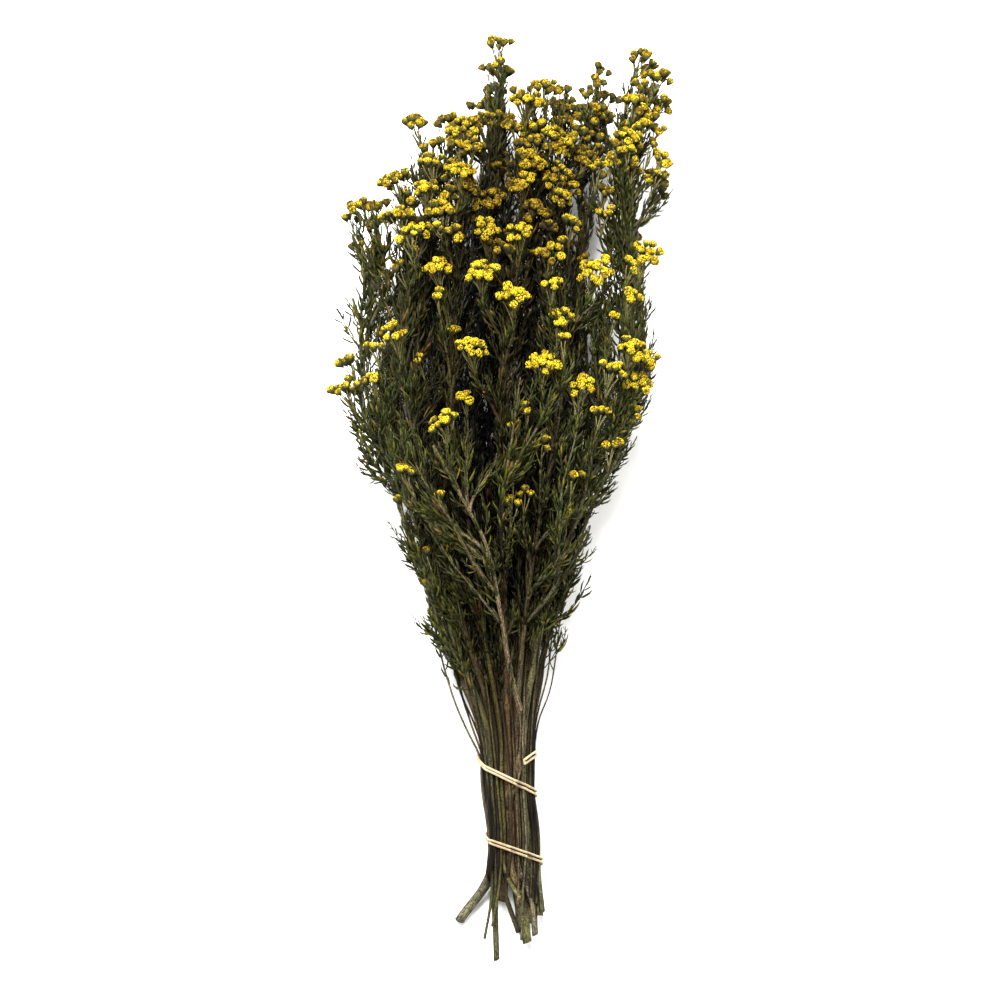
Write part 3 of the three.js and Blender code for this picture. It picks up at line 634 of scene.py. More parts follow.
def stem_line(stem):
    """A stem's places: cut end, its knee if it has one, the two ties, the fan, and half-way from the
    fan to its leader."""
    row = [other["name"] for other in STEMS if other["row"] == stem["row"]]
    order = row.index(stem["name"])
    lower = row_places(stem["row"], LOWER_MIDDLE_X[stem["row"]])[order]
    upper = row_places(stem["row"], UPPER_MIDDLE_X)[order]
    level = ROW_Z[stem["row"]]
    end_x, end_y, end_z = stem["end"]
    places = [stem["end"]] + ([stem["knee"]] if "knee" in stem else [])
    if stem["row"] == "back":
        inward = (lower - end_x) * FOOT / (LOWER_TIE_Y - end_y)
        places.append((end_x + inward, end_y + FOOT, end_z))
    places.append((lower, LOWER_TIE_Y - BELOW_TIE, level - TIE_DROP - LIFT))
    places.append((lower, LOWER_TIE_Y + OVER_TIE, level - TIE_DROP + LIFT))
    places.append((upper, UPPER_TIE_Y, level))
    start_y = UPPER_TIE_Y + ABOVE_TIE
    places.append((upper, start_y, level + LIFT))
    fan_x, fan_z = stem["fan"]
    bow = RIGHT_BOW if fan_x > upper else 1
    for share in FAN_SHARES:
        x = upper + (fan_x - upper) * share**bow
        z = level + (fan_z - level) * share**DEPTH_BOW
        places.append((x, start_y + (FAN_Y - start_y) * share, z))
    x, y, z, _ = stem["shoots"][0]
    places.append(((x + fan_x) / 2, (FAN_Y + y) / 2, (z + fan_z) / 2 + LIFT))
    return np.array(places, float)


def stem_radii(line, radius):
    """Full radius up to the upper tie, then an even taper to the tip."""
    level = int(np.argmax(line[:, 1] > UPPER_TIE_Y))
    taper = np.linspace(radius, STEM_TIP_RADIUS, len(line) - level)
    return np.concatenate([np.full(level, radius), taper])


def corymb_axis(tip):
    """A corymb looks outward from the middle of the bunch."""
    return unit(np.array([tip[0] / AXIS_FAR_X, 1, (tip[2] - AXIS_MIDDLE_Z) / AXIS_FAR_Z]))


def fork_for(parents, tip):
    """The wood that a shoot leaves: the least of its rise plus a multiple of its way sideways."""
    best = None
    for number, places in enumerate(parents):
        for share in FORK_SHARES:
            place, along = place_at(places, places[0, 1] + (places[-1, 1] - places[0, 1]) * share)
            rise = tip[1] - place[1]
            if rise < MIN_RISE or place[1] < FORK_MIN_Y:
                continue
            cost = rise + SIDEWAYS_COST * np.hypot(tip[0] - place[0], tip[2] - place[2])
            if best is None or cost < best[0]:
                best = (cost, place, along, number)
    return best[1:]


def shoot_ways(root, along, tip):
    """A shoot leaves its wood at a slant and ends along its corymb's axis, or level on the surface."""
    root_way = unit(SLANT * unit(tip - root) + along)
    return root_way, np.array([0, 1.0, 0]) if tip[2] < RESTING_Z else corymb_axis(tip)


def corymb_plan(tip, heads, seed):
    """The solids' corymb: its fork, its reach, its heads' radius, and their rays round the axis.

    Close corymbs show a share of their heads, each as much larger as that leaves room for."""
    close = heads >= BLOOM_MIN_HEADS
    shown = int(heads * HEAD_SHARE + 0.5) if close else max(1, int(heads * HEAD_SHARE))
    radius = HEAD_RADIUS * (np.sqrt(heads / shown) / CLOSE_HEAD_SHRINK if close else 1)
    distance = CORYMB_HEIGHT + 2 * radius
    polar = radius * (CLOSE_PITCH if close else OPEN_PITCH) / distance
    axis = corymb_axis(tip)
    side, up = across(axis)
    turn = next(draws(seed)) * TURN
    angles = turn + 2 * np.pi * np.arange(shown - 1) / max(shown - 1, 1)
    out = turned(side, up, angles)
    rays = np.concatenate([[axis], np.cos(polar) * axis + np.sin(polar) * out])
    return {"axis": axis, "fork": tip - axis * distance, "reach": distance, "radius": radius,
        "rays": rays, "heads": heads}


def rod_distances(a, b, c, d):
    """The least distance between each rod a-b and each rod c-d, as a table."""
    u = (b - a)[:, None]
    v = (d - c)[None]
    w = a[:, None] - c[None]
    uu = np.maximum((u * u).sum(-1), 1e-9)
    vv = np.maximum((v * v).sum(-1), 1e-9)
    uv = (u * v).sum(-1)
    uw = (u * w).sum(-1)
    vw = (v * w).sum(-1)
    den = uu * vv - uv * uv
    s = np.where(den > 1e-9, np.clip((uv * vw - vv * uw) / np.maximum(den, 1e-9), 0, 1), 0)
    t = np.clip((uv * s + vw) / vv, 0, 1)
    s = np.clip((uv * t - uw) / uu, 0, 1)
    return np.linalg.norm(w + u * s[..., None] - v * t[..., None], axis=-1)


class Room:
    """Rods of (start, end, radius, owner) that are taken, so that nothing grows through another."""

    def __init__(self):
        self.rods = []

    def take(self, rods):
        """Marks the room of these rods as taken."""
        self.rods.extend(rods)
        self.a, self.b, self.radius, self.owner = rod_arrays(self.rods)

    def crowding(self, rods):
        """How deep rods would stand in what belongs to other owners; 0 is clear."""
        a, b, radius, owner = rod_arrays(rods)
        depth = radius[:, None] + self.radius[None] + GAP - rod_distances(a, b, self.a, self.b)
        depth[owner[:, None] == self.owner[None]] = 0
        return max(0, depth.max())


def rod_arrays(rods):
    """Rods as four arrays."""
    a, b, radius, owner = zip(*rods)
    return np.array(a), np.array(b), np.array(radius), np.array(owner)


def rods_along(places, radii, owner):
    """One rod a span of a line, as thick as the thicker of its ends."""
    thick = np.maximum(radii[:-1], radii[1:])
    return [(a, b, r, owner) for a, b, r in zip(places[:-1], places[1:], thick)]


def shoot_plan(parents, row, owner, bloom_owner, seed, room):
    """The first of the shifted tips whose shoot and corymb stand clear of all else."""
    x, y, z, heads = row
    resting = z < RESTING_Z
    best = None
    for aside in SIDE_SHIFTS:
        for lift in [0] if resting else SHIFTS:
            tip = np.array([x + aside, y, max(z + lift, z if resting else LOWEST_TIP)], float)
            plan = corymb_plan(tip, heads, seed) if heads else None
            end = plan["fork"] if plan else tip
            root, along, parent = fork_for(parents, end)
            root_way, tip_way = shoot_ways(root, along, end)
            places = bezier(root, root_way, end, tip_way, 3)
            radii = np.linspace(SHOOT_ROOT_RADIUS, SHOOT_TIP_RADIUS, 3)
            rods = rods_along(places, radii, owner)
            if plan:
                low, high = [plan["fork"] + plan["rays"] * (plan["reach"] + along_ray)
                    for along_ray in HEAD_ROD]
                rods += [(plan["fork"], place, STALK_RADIUS, owner) for place in low]
                rods += [(a, b, plan["radius"], bloom_owner) for a, b in zip(low, high)]
            depth = room.crowding(rods)
            if best is None or depth < best["depth"]:
                best = {"depth": depth, "end": end, "plan": plan, "places": places, "rods": rods,
                    "parent": parent}
            if best["depth"] == 0:
                return best
    return best


# Shapes: profiles carried along paths, each closed with a point at either end


def skin_faces(rings, sides):
    """Triangles over rings of points that follow a start point and come before an end point."""
    ring = np.arange(rings)[:, None] * sides + 1
    here = ring + np.arange(sides)
    beside = ring + (np.arange(sides) + 1) % sides
    a, b = here[:-1].ravel(), beside[:-1].ravel()
    c, d = here[1:].ravel(), beside[1:].ravel()
    start = np.stack([np.zeros(sides, int), beside[0], here[0]], axis=1)
    end = np.stack([here[-1], beside[-1], np.full(sides, rings * sides + 1)], axis=1)
    return np.concatenate([start, np.stack([a, b, d], axis=1), np.stack([a, d, c], axis=1), end])


def skins(starts, rings, ends):
    """Many closed skins at once: points, triangles, and how many points each skin has.

    starts and ends are (n, 3) and rings is (n, rings, sides, 3)."""
    count, ring_count, sides = rings.shape[:3]
    each = ring_count * sides + 2
    points = np.concatenate([starts[:, None], rings.reshape(count, -1, 3), ends[:, None]], axis=1)
    faces = skin_faces(ring_count, sides)[None] + (np.arange(count) * each)[:, None, None]
    return points.reshape(-1, 3), faces.reshape(-1, 3), each


def tubes(paths, radii, sides):
    """Round tubes: at each place, place + radius * (cos * side + sin * up); radii may differ by side."""
    if radii.ndim == 2:
        radii = radii[..., None]
    out = spokes(*across(directions(paths)), sides)
    return skins(paths[:, 0], paths[..., None, :] + radii[..., None] * out, paths[:, -1])


def tube_grain(paths, radii, sides):
    """A seamless map of each tube: (cos, sin) round it times its radius, and millimetres along it."""
    steps = np.linalg.norm(np.diff(paths, axis=1), axis=2)
    along = np.concatenate([np.zeros((len(paths), 1)), np.cumsum(steps, axis=1)], axis=1)
    cosine, sine = circle(sides)
    radius = radii if radii.ndim == 2 else radii.mean(axis=2)
    ring = np.stack(np.broadcast_arrays(radius[..., None] * cosine, radius[..., None] * sine,
        along[..., None]), axis=-1)
    start = np.zeros((len(paths), 1, 3))
    end = np.stack([0 * along[:, -1], 0 * along[:, -1], along[:, -1]], axis=-1)[:, None]
    return np.concatenate([start, ring.reshape(len(paths), -1, 3), end], axis=1).reshape(-1, 3)


def per_place(values, sides):
    """A number at each place of each tube, spread to the tube's points."""
    ring = np.repeat(values, sides, axis=1)
    return np.concatenate([values[:, :1], ring, values[:, -1:]], axis=1).ravel()


def joined(parts):
    """Several (points, triangles, {attribute: values}) as one."""
    offset = 0
    faces = []
    for points, triangles, _ in parts:
        faces.append(triangles + offset)
        offset += len(points)
    names = parts[0][2]
    attributes = {name: np.concatenate([part[2][name] for part in parts]) for name in names}
    return np.concatenate([part[0] for part in parts]), np.concatenate(faces), attributes


def inside(points):
    """How deep in the bunch points lie, which sets how much painted shade they get: 1 less the distance
    from its middle line over its half width and half height at that level, times how closed the bunch is
    there; 0 is outside."""
    level, middle_x, half_width, middle_z, half_height, closed = BUNCH_FORM.T
    x = np.interp(points[:, 1], level, middle_x)
    width = np.interp(points[:, 1], level, half_width)
    z = np.interp(points[:, 1], level, middle_z)
    height = np.interp(points[:, 1], level, half_height)
    depth = 1 - np.hypot((points[:, 0] - x) / width, (points[:, 2] - z) / height)
    return np.clip(depth, 0, 1) * np.interp(points[:, 1], level, closed)


def piece(name, part, materials, stands_for, face_material=None):
    """A mesh from points in millimetres, with its attributes, materials and place in the record."""
    points, triangles, attributes = part
    # how deep each point lies in the bunch, which sets its painted shade
    attributes["inside"] = inside(points)
    mesh = bpy.data.meshes.new(name)
    mesh.vertices.add(len(points))
    mesh.vertices.foreach_set("co", (points * 0.001).ravel())
    mesh.loops.add(triangles.size)
    mesh.loops.foreach_set("vertex_index", triangles.ravel())
    mesh.polygons.add(len(triangles))
    mesh.polygons.foreach_set("loop_start", np.arange(len(triangles)) * 3)
    for label, values in attributes.items():
        kind, key = ("FLOAT_VECTOR", "vector") if values.ndim == 2 else ("FLOAT", "value")
        mesh.attributes.new(label, kind, "POINT").data.foreach_set(key, values.ravel())
    for material in materials:
        mesh.materials.append(material)
    if face_material is not None:
        mesh.polygons.foreach_set("material_index", face_material)
    mesh.update(calc_edges=True)
    mesh.shade_smooth()
    thing = bpy.data.objects.new(name, mesh)
    bpy.context.scene.collection.objects.link(thing)
    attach(thing, "root")
    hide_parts(*stands_for)
    return thing


# Wood


def stem_tube(path, radii, chance, knee=None):
    """A stem: a tube whose radius swells at knots and ripples slowly round and along it."""
    so_far = lengths_along(path)
    knots = np.sort(chance.uniform(KNOTS_FROM, so_far[-1], int(so_far[-1] / KNOT_EVERY)))
    size = chance.uniform(*KNOT_SIZES, len(knots))
    swell = (size * np.exp(-((so_far[:, None] - knots) / KNOT_WIDTH)**2)).sum(axis=1)
    if knee:
        swell = swell + KNEE_SWELL * np.exp(-((path[:, 1] - knee[1]) / KNEE_WIDTH)**2)
    angles = 2 * np.pi * np.arange(STEM_SIDES) / STEM_SIDES
    ripple = np.zeros((len(path), STEM_SIDES))
    for (depth, waves, pace), phase in zip(RIPPLES, chance.uniform(0, TURN, len(RIPPLES))):
        ripple += depth * np.sin(waves * angles + so_far[:, None] / pace + phase)
    rough = (radii * (1 + swell))[:, None] * (1 + ripple)
    lifted = path.copy()
    lifted[:, 2] = np.maximum(path[:, 2], rough.max(axis=1) + REST_GAP)
    return lifted, rough


def slanted_cut(points, way, slope):
    """A stem's cut end: its first points slide along the stem in step with how far right they are."""
    ring = slice(0, STEM_SIDES + 1)
    middle = points[0].copy()
    points[ring] += way * ((points[ring] - middle)[:, :1] * slope)


def crevices(points, own, lines):
    """How close a stem's surface is to the next stem, which the bark darkens by as painted shade: 1 where
    they touch, 0 from CREVICE on.
    """
    nearest = np.full(len(points), CREVICE)
    y = points[:, 1]
    for line, radii in lines:
        if line is own:
            continue
        aside = points[:, 0] - np.interp(y, line[:, 1], line[:, 0])
        above = points[:, 2] - np.interp(y, line[:, 1], line[:, 2])
        gap = np.hypot(aside, above) - np.interp(y, line[:, 1], radii)
        beside = (y > line[0, 1]) & (y < line[-1, 1])
        nearest = np.minimum(nearest, np.where(beside, gap, CREVICE))
    return np.clip(1 - nearest / CREVICE, 0, 1)


def wood_part(paths, radii, sides, young):
    """Tubes with their grain, and how young their wood is: 0 old bark, 1 green shoot."""
    points, triangles, _ = tubes(paths, radii, sides)
    return points, triangles, {"grain": tube_grain(paths, radii, sides),
        "young": per_place(young, sides), "crevice": np.zeros(len(points))}


# Leaves


def leaf_part(roots, along, out, lengths, lean, bend, tones):
    """Narrow leaves that lean out and curve back in.

    At share t the middle is root + length * ((cos(lean) t + bend t^2 / 3) along
    + (sin(lean) t - bend t^2 / 2) out), and the section is a thin roof with its edges rolled down."""
    t = np.concatenate([[0], LEAF_SHARES, [1]])
    forward = np.cos(lean)[:, None] * t + bend[:, None] * t**2 / 3
    aside = np.sin(lean)[:, None] * t - bend[:, None] * t**2 / 2
    middle = roots[:, None] + lengths[:, None, None] * (
        forward[..., None] * along[:, None] + aside[..., None] * out[:, None])
    way = directions(middle)
    flat = unit(np.cross(along, out))[:, None]
    face = unit(np.cross(flat, way))
    half = (lengths * LEAF_WIDTH / LEAF_LENGTH / 2)[:, None] * LEAF_WIDTHS
    across_leaf = LEAF_SECTION[:, 0, None] * flat[:, :, None]
    ridge = LEAF_SECTION[:, 1, None] * face[:, 1:-1, None]
    ring = middle[:, 1:-1, None] + half[..., None, None] * (across_leaf + ridge)
    points, triangles, each = skins(middle[:, 0], ring, middle[:, -1])
    share = np.concatenate([[0], np.repeat(LEAF_SHARES, len(LEAF_SECTION)), [1]])
    return points, triangles, {"share": np.tile(share, len(roots)), "tone": np.repeat(tones, each)}


def leaves_along(paths, start, end, spacing, length, chance):
    """Leaves that spiral up lines of wood: roots, ways, sizes and tones, a golden angle apart."""
    found = []
    for path in paths:
        total = lengths_along(path)[-1]
        count = int((total - start - end) / spacing)
        if count < 1:
            continue
        place = start + spacing * (np.arange(count) + chance.uniform(-LEAF_SCATTER, LEAF_SCATTER, count))
        roots, along, side, up = stations(path, place)
        angles = chance.uniform(0, TURN) + GOLDEN_ANGLE * np.arange(count)
        angles = angles + chance.uniform(-LEAF_TWIST, LEAF_TWIST, count)
        out = turned(side, up, angles)
        near_end = np.clip((total - place) / LEAF_NEAR_END, LEAST_LEAF, 1)
        lengths = length * chance.uniform(*LEAF_SIZES, count) * near_end
        lean = chance.uniform(*LEAF_LEANS, count)
        bend = chance.uniform(*LEAF_BENDS, count)
        tones = chance.uniform(0, 1, count)
        found.append((roots, along, out, lengths, lean, bend, tones))
    return [np.concatenate(column) for column in zip(*found)]


def leaves_on(lines, row, chance):
    """The leaves along lines of one kind, as a row of LEAF_ROWS says."""
    start, end, spacing, size = row
    return leaves_along(lines, start, end, LEAF_SPACING * spacing, LEAF_LENGTH * size, chance)


def clear_of_surface(columns):
    """Only the leaves above the bare wood whose tips stay above the surface that the bunch lies on."""
    roots, along, out, lengths, lean = columns[:5]
    lowest = np.where(roots[:, 0] < LEAF_SIDE_X, LOWEST_LEAF_Y["left"], LOWEST_LEAF_Y["right"])
    tip = roots[:, 2] + lengths * (np.cos(lean) * along[:, 2] + np.sin(lean) * out[:, 2])
    kept = (tip > LEAF_CLEARANCE) & (roots[:, 2] > LOWEST_ROOT_Z) & (roots[:, 1] > lowest)
    return [column[kept] for column in columns]


def beside_the_gap(lines):
    """The lines that don't end in the open gap at the bunch's upper right."""
    low, high = OPEN_GAP
    return [line for line in lines
        if not (low[0] < line[-1, 0] < high[0] and low[1] < line[-1, 1] < high[1])]


# Flowers


def blossom_places(plan, chance):
    """The heads of a corymb: a sunflower spiral of rays round its axis, each a little long or short.

    The corymb faces outward from the middle of the bunch, so its axis leans up in front and down
    at the back."""
    close = plan["heads"] >= BLOOM_MIN_HEADS
    heads = round(plan["heads"] * EXTRA_HEADS) if close else plan["heads"]
    pitch = CLOSE_SPIRAL if close else OPEN_SPIRAL
    tip = plan["fork"] + plan["axis"] * plan["reach"]
    lean = chance.uniform(*TURNED["left" if tip[0] < LEFT_CORYMBS_X else "right"])
    outward = np.clip((tip[2] - TURNED_Z) / TURNED_OVER, -1, 1) * lean
    axis = unit(plan["axis"] + np.array([chance.uniform(-TURNED_ASIDE, TURNED_ASIDE), 0, outward]))
    side, up = across(axis)
    order = np.arange(heads)
    reach = plan["reach"] + chance.uniform(*RAY_LENGTHS, heads)
    polar = pitch * np.sqrt(order) / reach
    angles = GOLDEN_ANGLE * order + chance.uniform(0, TURN)
    rays = turned(axis, turned(side, up, angles), polar)
    return tip - plan["reach"] * axis + reach[:, None] * rays, rays


def small_corymb(path, chance):
    """A few heads at the end of a leafy twig: the plan of a corymb, and the twig's line."""
    way = unit(path[-1] - path[-2])
    axis = unit(way + [0, SMALL_UPRIGHT, 0])
    reach = chance.uniform(*SMALL_REACHES)
    heads = chance.integers(*SMALL_HEADS)
    return {"fork": path[-1], "axis": axis, "reach": reach, "heads": heads}, path


def frames(ways):
    """(side, up, way) of each way, as (n, 3, 3)."""
    side, up = across(ways)
    return np.stack([side, up, ways], axis=1)


def head_tones(centres, chance):
    """How bright heads are: a random tone plus painted light, brighter in front, darker at the left by
    painted shade, and duller at the very top.
    """
    left, over_x, left_shade_amount = LEFT_HEAD_SHADE
    top, over_y, top_dullness = DULL_TOP
    # painted shade on the heads at the left, and a little dulling at the very top
    dull = left_shade_amount * np.clip((left - centres[:, 0]) / over_x, 0, 1)
    dull += top_dullness * np.clip((centres[:, 1] - top) / over_y, 0, 1)
    bright = (centres[:, 2] - BRIGHT_FROM_Z) / BRIGHT_OVER + chance.uniform(*BRIGHTNESS, len(centres))
    return np.clip(bright - dull, 0, 1)


def floret_part(centres, ways, sizes, tones, chance):
    """Flower heads as domes of florets.

    Floret k of n stands at polar angle DOME_ANGLE * sqrt((k + DOME_START) / n) and k golden angles round
    the head, on a flattened dome; it is a small five-cornered cup with a dark sunken middle and a dark
    base, painted shade in the gaps between the florets."""
    heads = len(centres)
    order = np.arange(FLORETS)
    polar = np.radians(DOME_ANGLE) * np.sqrt((order + DOME_START) / FLORETS)
    polar = polar + chance.uniform(-FLORET_TILT, FLORET_TILT, (heads, FLORETS))
    turn = chance.uniform(0, TURN, (heads, 1)) + GOLDEN_ANGLE * order
    turn = turn + chance.uniform(-FLORET_TWIST, FLORET_TWIST, (heads, 1))
    out = np.sin(polar)
    local = np.stack([out * np.cos(turn), out * np.sin(turn), np.cos(polar)], axis=-1)
    frame_of = frames(ways)
    facing = unit(np.einsum("hfi,hij->hfj", local, frame_of))
    uneven = chance.uniform(*FLORET_DEPTHS, (heads, FLORETS, 1))
    flat = local * DOME * uneven * BLOSSOM_RADIUS * sizes[:, None, None]
    place = centres[:, None] + np.einsum("hfi,hij->hfj", flat, frame_of)
    fade = np.clip(tones[:, None] + chance.uniform(*FLORET_FADES, (heads, FLORETS)), 0, 1)
    facing = facing.reshape(-1, 3)
    place = place.reshape(-1, 3)
    scale = np.repeat(sizes, FLORETS) * chance.uniform(*FLORET_SIZES, len(place)) * FLORET_RADIUS
    out = spokes(*across(facing), FLORET_SIDES)
    rings = []
    for radius, height in FLORET_RINGS:
        offset = radius * out + height * facing[:, None]
        rings.append(place[:, None] + scale[:, None, None] * offset)
    start, end = [place + height * scale[:, None] * facing for height in FLORET_ENDS]
    points, triangles, each = skins(start, np.stack(rings, axis=1), end)
    # painted shade at each floret's base and lower ring, where the gaps between florets lie, and its own
    # brown sunken middle
    eye_and_gap_shade = np.repeat(FLORET_EYE_AND_GAP_SHADE, [1, FLORET_SIDES, FLORET_SIDES, 1])
    return points, triangles, {"eye_and_gap_shade": np.tile(eye_and_gap_shade, len(place)),
        "tone": np.repeat(fade.ravel(), each)}


def cup_part(centres, ways, sizes, tones):
    """The green cup under each head: a flared profile turned about the head's way, its rim toothed."""
    out = spokes(*across(ways), CUP_SIDES)
    lifts = np.repeat(CUP_PROFILE[:, 1:], CUP_SIDES, axis=1)
    lifts[-1] += np.resize(CUP_TEETH, CUP_SIDES)
    rings = []
    for radius, lift in zip(CUP_PROFILE[:, 0], lifts):
        offset = radius * out + lift[:, None] * ways[:, None]
        rings.append(centres[:, None] + sizes[:, None, None] * offset)
    start, end = [centres + height * sizes[:, None] * ways for height in (CUP_PROFILE[0, 1], CUP_TOP)]
    points, triangles, each = skins(start, np.stack(rings, axis=1), end)
    share = np.concatenate([CUP_SHARES[:1], np.repeat(CUP_SHARES, CUP_SIDES), [1]])
    return points, triangles, {"share": np.tile(share, len(centres)), "tone": np.repeat(tones, each)}


def stalk_part(plan_path, centres, ways, tones):
    """Peduncles: Bezier lines from the last stretch of the shoot to just inside each cup."""
    last = plan_path[-1]
    down = unit(plan_path[-2] - last)
    order = np.arange(len(centres))
    first, stretch = STALK_STRETCH
    roots = last + down * (first + stretch * order / max(len(centres), STALKS_SPREAD))[:, None]
    tips = centres - STALK_TIP * ways
    paths = np.stack([bezier(root, -down, tip, way, STALK_PLACES)
        for root, tip, way in zip(roots, tips, ways)])
    radii = np.broadcast_to(np.linspace(*STALK_RADII, STALK_PLACES), paths.shape[:2])
    points, triangles, each = tubes(paths, radii, STALK_SIDES)
    share = np.zeros(len(points))
    return paths, (points, triangles, {"share": share, "tone": np.repeat(tones, each)})


# Materials


def linear(colour):
    """An sRGB hex colour as linear RGBA: ((c + 0.055) / 1.055)^2.4, or c / 12.92 when dark."""
    values = [int(colour[i:i + 2], 16) / 255 for i in (1, 3, 5)]
    return tuple(c / 12.92 if c <= 0.04045 else ((c + 0.055) / 1.055)**2.4 for c in values) + (1,)


def add(tree, kind, values=None, settings=None, **links):
    """A node with its settings, its sockets' values, and links from other nodes' sockets."""
    node = tree.nodes.new("ShaderNode" + kind)
    for name, value in (settings or {}).items():
        setattr(node, name, value)
    for name, value in (values or {}).items():
        node.inputs[name].default_value = value
    for name, socket in links.items():
        tree.links.new(socket, node.inputs[name])
    return node


def finish(name, **shader_values):
    """A new material with its shader's plain values set on its own sockets."""
    material = bpy.data.materials.new(name)
    material.use_nodes = True
    tree = material.node_tree
    shader = tree.nodes["Principled BSDF"]
    for label, value in shader_values.items():
        shader.inputs[label.replace("_", " ")].default_value = value
    return material, tree, shader


def attribute(tree, name, output="Fac"):
    """One of the mesh's attributes."""
    return add(tree, "Attribute", settings={"attribute_name": name}).outputs[output]


def ramp(tree, factor, stops):
    """A colour ramp from (place, hex) stops."""
    node = add(tree, "ValToRGB", Fac=factor)
    elements = node.color_ramp.elements
    while len(elements) < len(stops):
        elements.new(0.5)
    for element, (place, colour) in zip(elements, stops):
        element.position = place
        element.color = linear(colour)
    return node.outputs["Color"]


def mix(tree, factor, first, second, blend="MIX"):
    """Two colours blended; a factor that is a plain number is set on the socket."""
    node = add(tree, "MixRGB", settings={"blend_type": blend}, Color1=first, Color2=second)
    if isinstance(factor, (int, float)):
        node.inputs["Fac"].default_value = factor
    else:
        tree.links.new(factor, node.inputs["Fac"])
    return node.outputs["Color"]


def noise(tree, scale, detail, vector=None, roughness=0.5):
    """A noise factor over a vector, or over the object's own place in metres."""
    place = vector or add(tree, "TexCoord").outputs["Object"]
    values = {"Scale": scale, "Detail": detail, "Roughness": roughness}
    return add(tree, "TexNoise", values, Vector=place).outputs["Fac"]


def bump(tree, shader, height, strength, distance):
    """Relief from a height, in metres."""
    node = add(tree, "Bump", {"Strength": strength, "Distance": distance}, Height=height)
    tree.links.new(node.outputs["Normal"], shader.inputs["Normal"])


def paint_inner_shade(tree, shader, colour, deepest, middle="#a8987a"):
    """The shader's colour times painted shade, dull and dark towards the middle of the bunch, which gives it
    its depth.
    """
    depth = attribute(tree, "inside")
    shade = ramp(tree, depth, [(0.08, "#ffffff"), (0.35, middle), (0.7, deepest)])
    tree.links.new(mix(tree, 1.0, colour, shade, "MULTIPLY"), shader.inputs["Base Color"])


def bark(name, dark, light, streak, young):
    """Bark: long streaks of two browns, dark specks and scars, green where the wood is young, and
    darkened with painted shade where the next stem lies close and towards the middle of the bunch."""
    material, tree, shader = finish(name, Roughness=0.78, Specular_IOR_Level=0.12)
    grain = attribute(tree, "grain", "Vector")
    age = attribute(tree, "young")
    stretched, squat, slow = [add(tree, "Mapping", {"Scale": scale}, Vector=grain).outputs["Vector"]
        for scale in ((1, 1, 0.12), (0.8, 0.8, 0.55), (0.25, 0.25, 0.03))]
    fibre = noise(tree, 1.3, 6, stretched, 0.65)
    patch = noise(tree, 1.2, 3, slow)
    speck = noise(tree, 1.5, 4, squat, 0.7)
    browns = ramp(tree, fibre, [(0.34, dark), (0.5, light), (0.66, streak)])
    lichen = ramp(tree, patch, [(0.36, "#2b2417"), (0.5, "#56503c"), (0.64, "#6d6a3c")])
    old = mix(tree, 0.38, browns, lichen)
    greens = ramp(tree, fibre, [(0.35, "#23220f"), (0.6, young)])
    wood = mix(tree, age, old, greens)
    scars = ramp(tree, speck, [(0.41, "#1c150e"), (0.52, "#ffffff")])
    scarred = mix(tree, 0.9, wood, scars, "MULTIPLY")
    between = attribute(tree, "crevice")
    # painted shade: the bark darkens where the next stem lies close, in the grooves between the stems
    crevice_shade = ramp(tree, between, [(0.3, "#ffffff"), (0.65, "#85785f"), (0.95, "#241c14")])
    paint_inner_shade(tree, shader, mix(tree, 1.0, scarred, crevice_shade, "MULTIPLY"), "#3a332a")
    height = add(tree, "Math", settings={"operation": "ADD"})
    tree.links.new(fibre, height.inputs[0])
    tree.links.new(speck, height.inputs[1])
    bump(tree, shader, height.outputs["Value"], 1.0, 0.0007)
    return material


def cut_wood():
    """The sawn end of a stem: dull straw wood with dark pores."""
    material, tree, shader = finish("cut stem wood", Roughness=0.85, Specular_IOR_Level=0.2)
    pores = noise(tree, 1800, 3)
    colour = ramp(tree, pores, [(0.35, "#4a3d28"), (0.65, "#9c8a62")])
    tree.links.new(colour, shader.inputs["Base Color"])
    bump(tree, shader, pores, 0.6, 0.0003)
    return material


def dried_leaf():
    """Dried leaves: dark olive and blue-greens, a few gone brown, paler at the base and edges."""
    material, tree, shader = finish("dried leaf", Roughness=0.5, Specular_IOR_Level=0.1)
    tone = attribute(tree, "tone")
    share = attribute(tree, "share")
    cloud = noise(tree, 420, 3)
    leaf_green = ramp(tree, tone, [(0.0, "#171a06"), (0.3, "#282d0b"), (0.5, "#38390e"),
        (0.7, "#262f10"), (0.88, "#474a14"), (0.95, "#5c5218"), (0.99, "#5a3f18")])
    mottled = ramp(tree, cloud, [(0.3, "#8a8a78"), (0.7, "#ffffff")])
    spotted = mix(tree, 0.8, leaf_green, mottled, "MULTIPLY")
    tips = ramp(tree, share, [(0.0, "#3c3a1e"), (0.22, "#000000"), (0.85, "#000000"),
        (1.0, "#2a2410")])
    paint_inner_shade(tree, shader, mix(tree, 0.7, spotted, tips, "ADD"), "#2c261e")
    bump(tree, shader, cloud, 0.5, 0.0002)
    return material


def green_cup():
    """The cups and flower stalks: woolly brown-green, greener towards the rim."""
    material, tree, shader = finish("flower cup", Roughness=0.8, Specular_IOR_Level=0.1)
    share = attribute(tree, "share")
    wool = noise(tree, 900, 4)
    along = ramp(tree, share, [(0.0, "#66613c"), (0.1, "#322f15"), (0.6, "#2e2f14"),
        (1.0, "#4c481a")])
    fluff = ramp(tree, wool, [(0.35, "#5a5340"), (0.65, "#ffffff")])
    paint_inner_shade(tree, shader, mix(tree, 0.8, along, fluff, "MULTIPLY"), "#3a332a")
    bump(tree, shader, wool, 0.6, 0.0002)
    return material


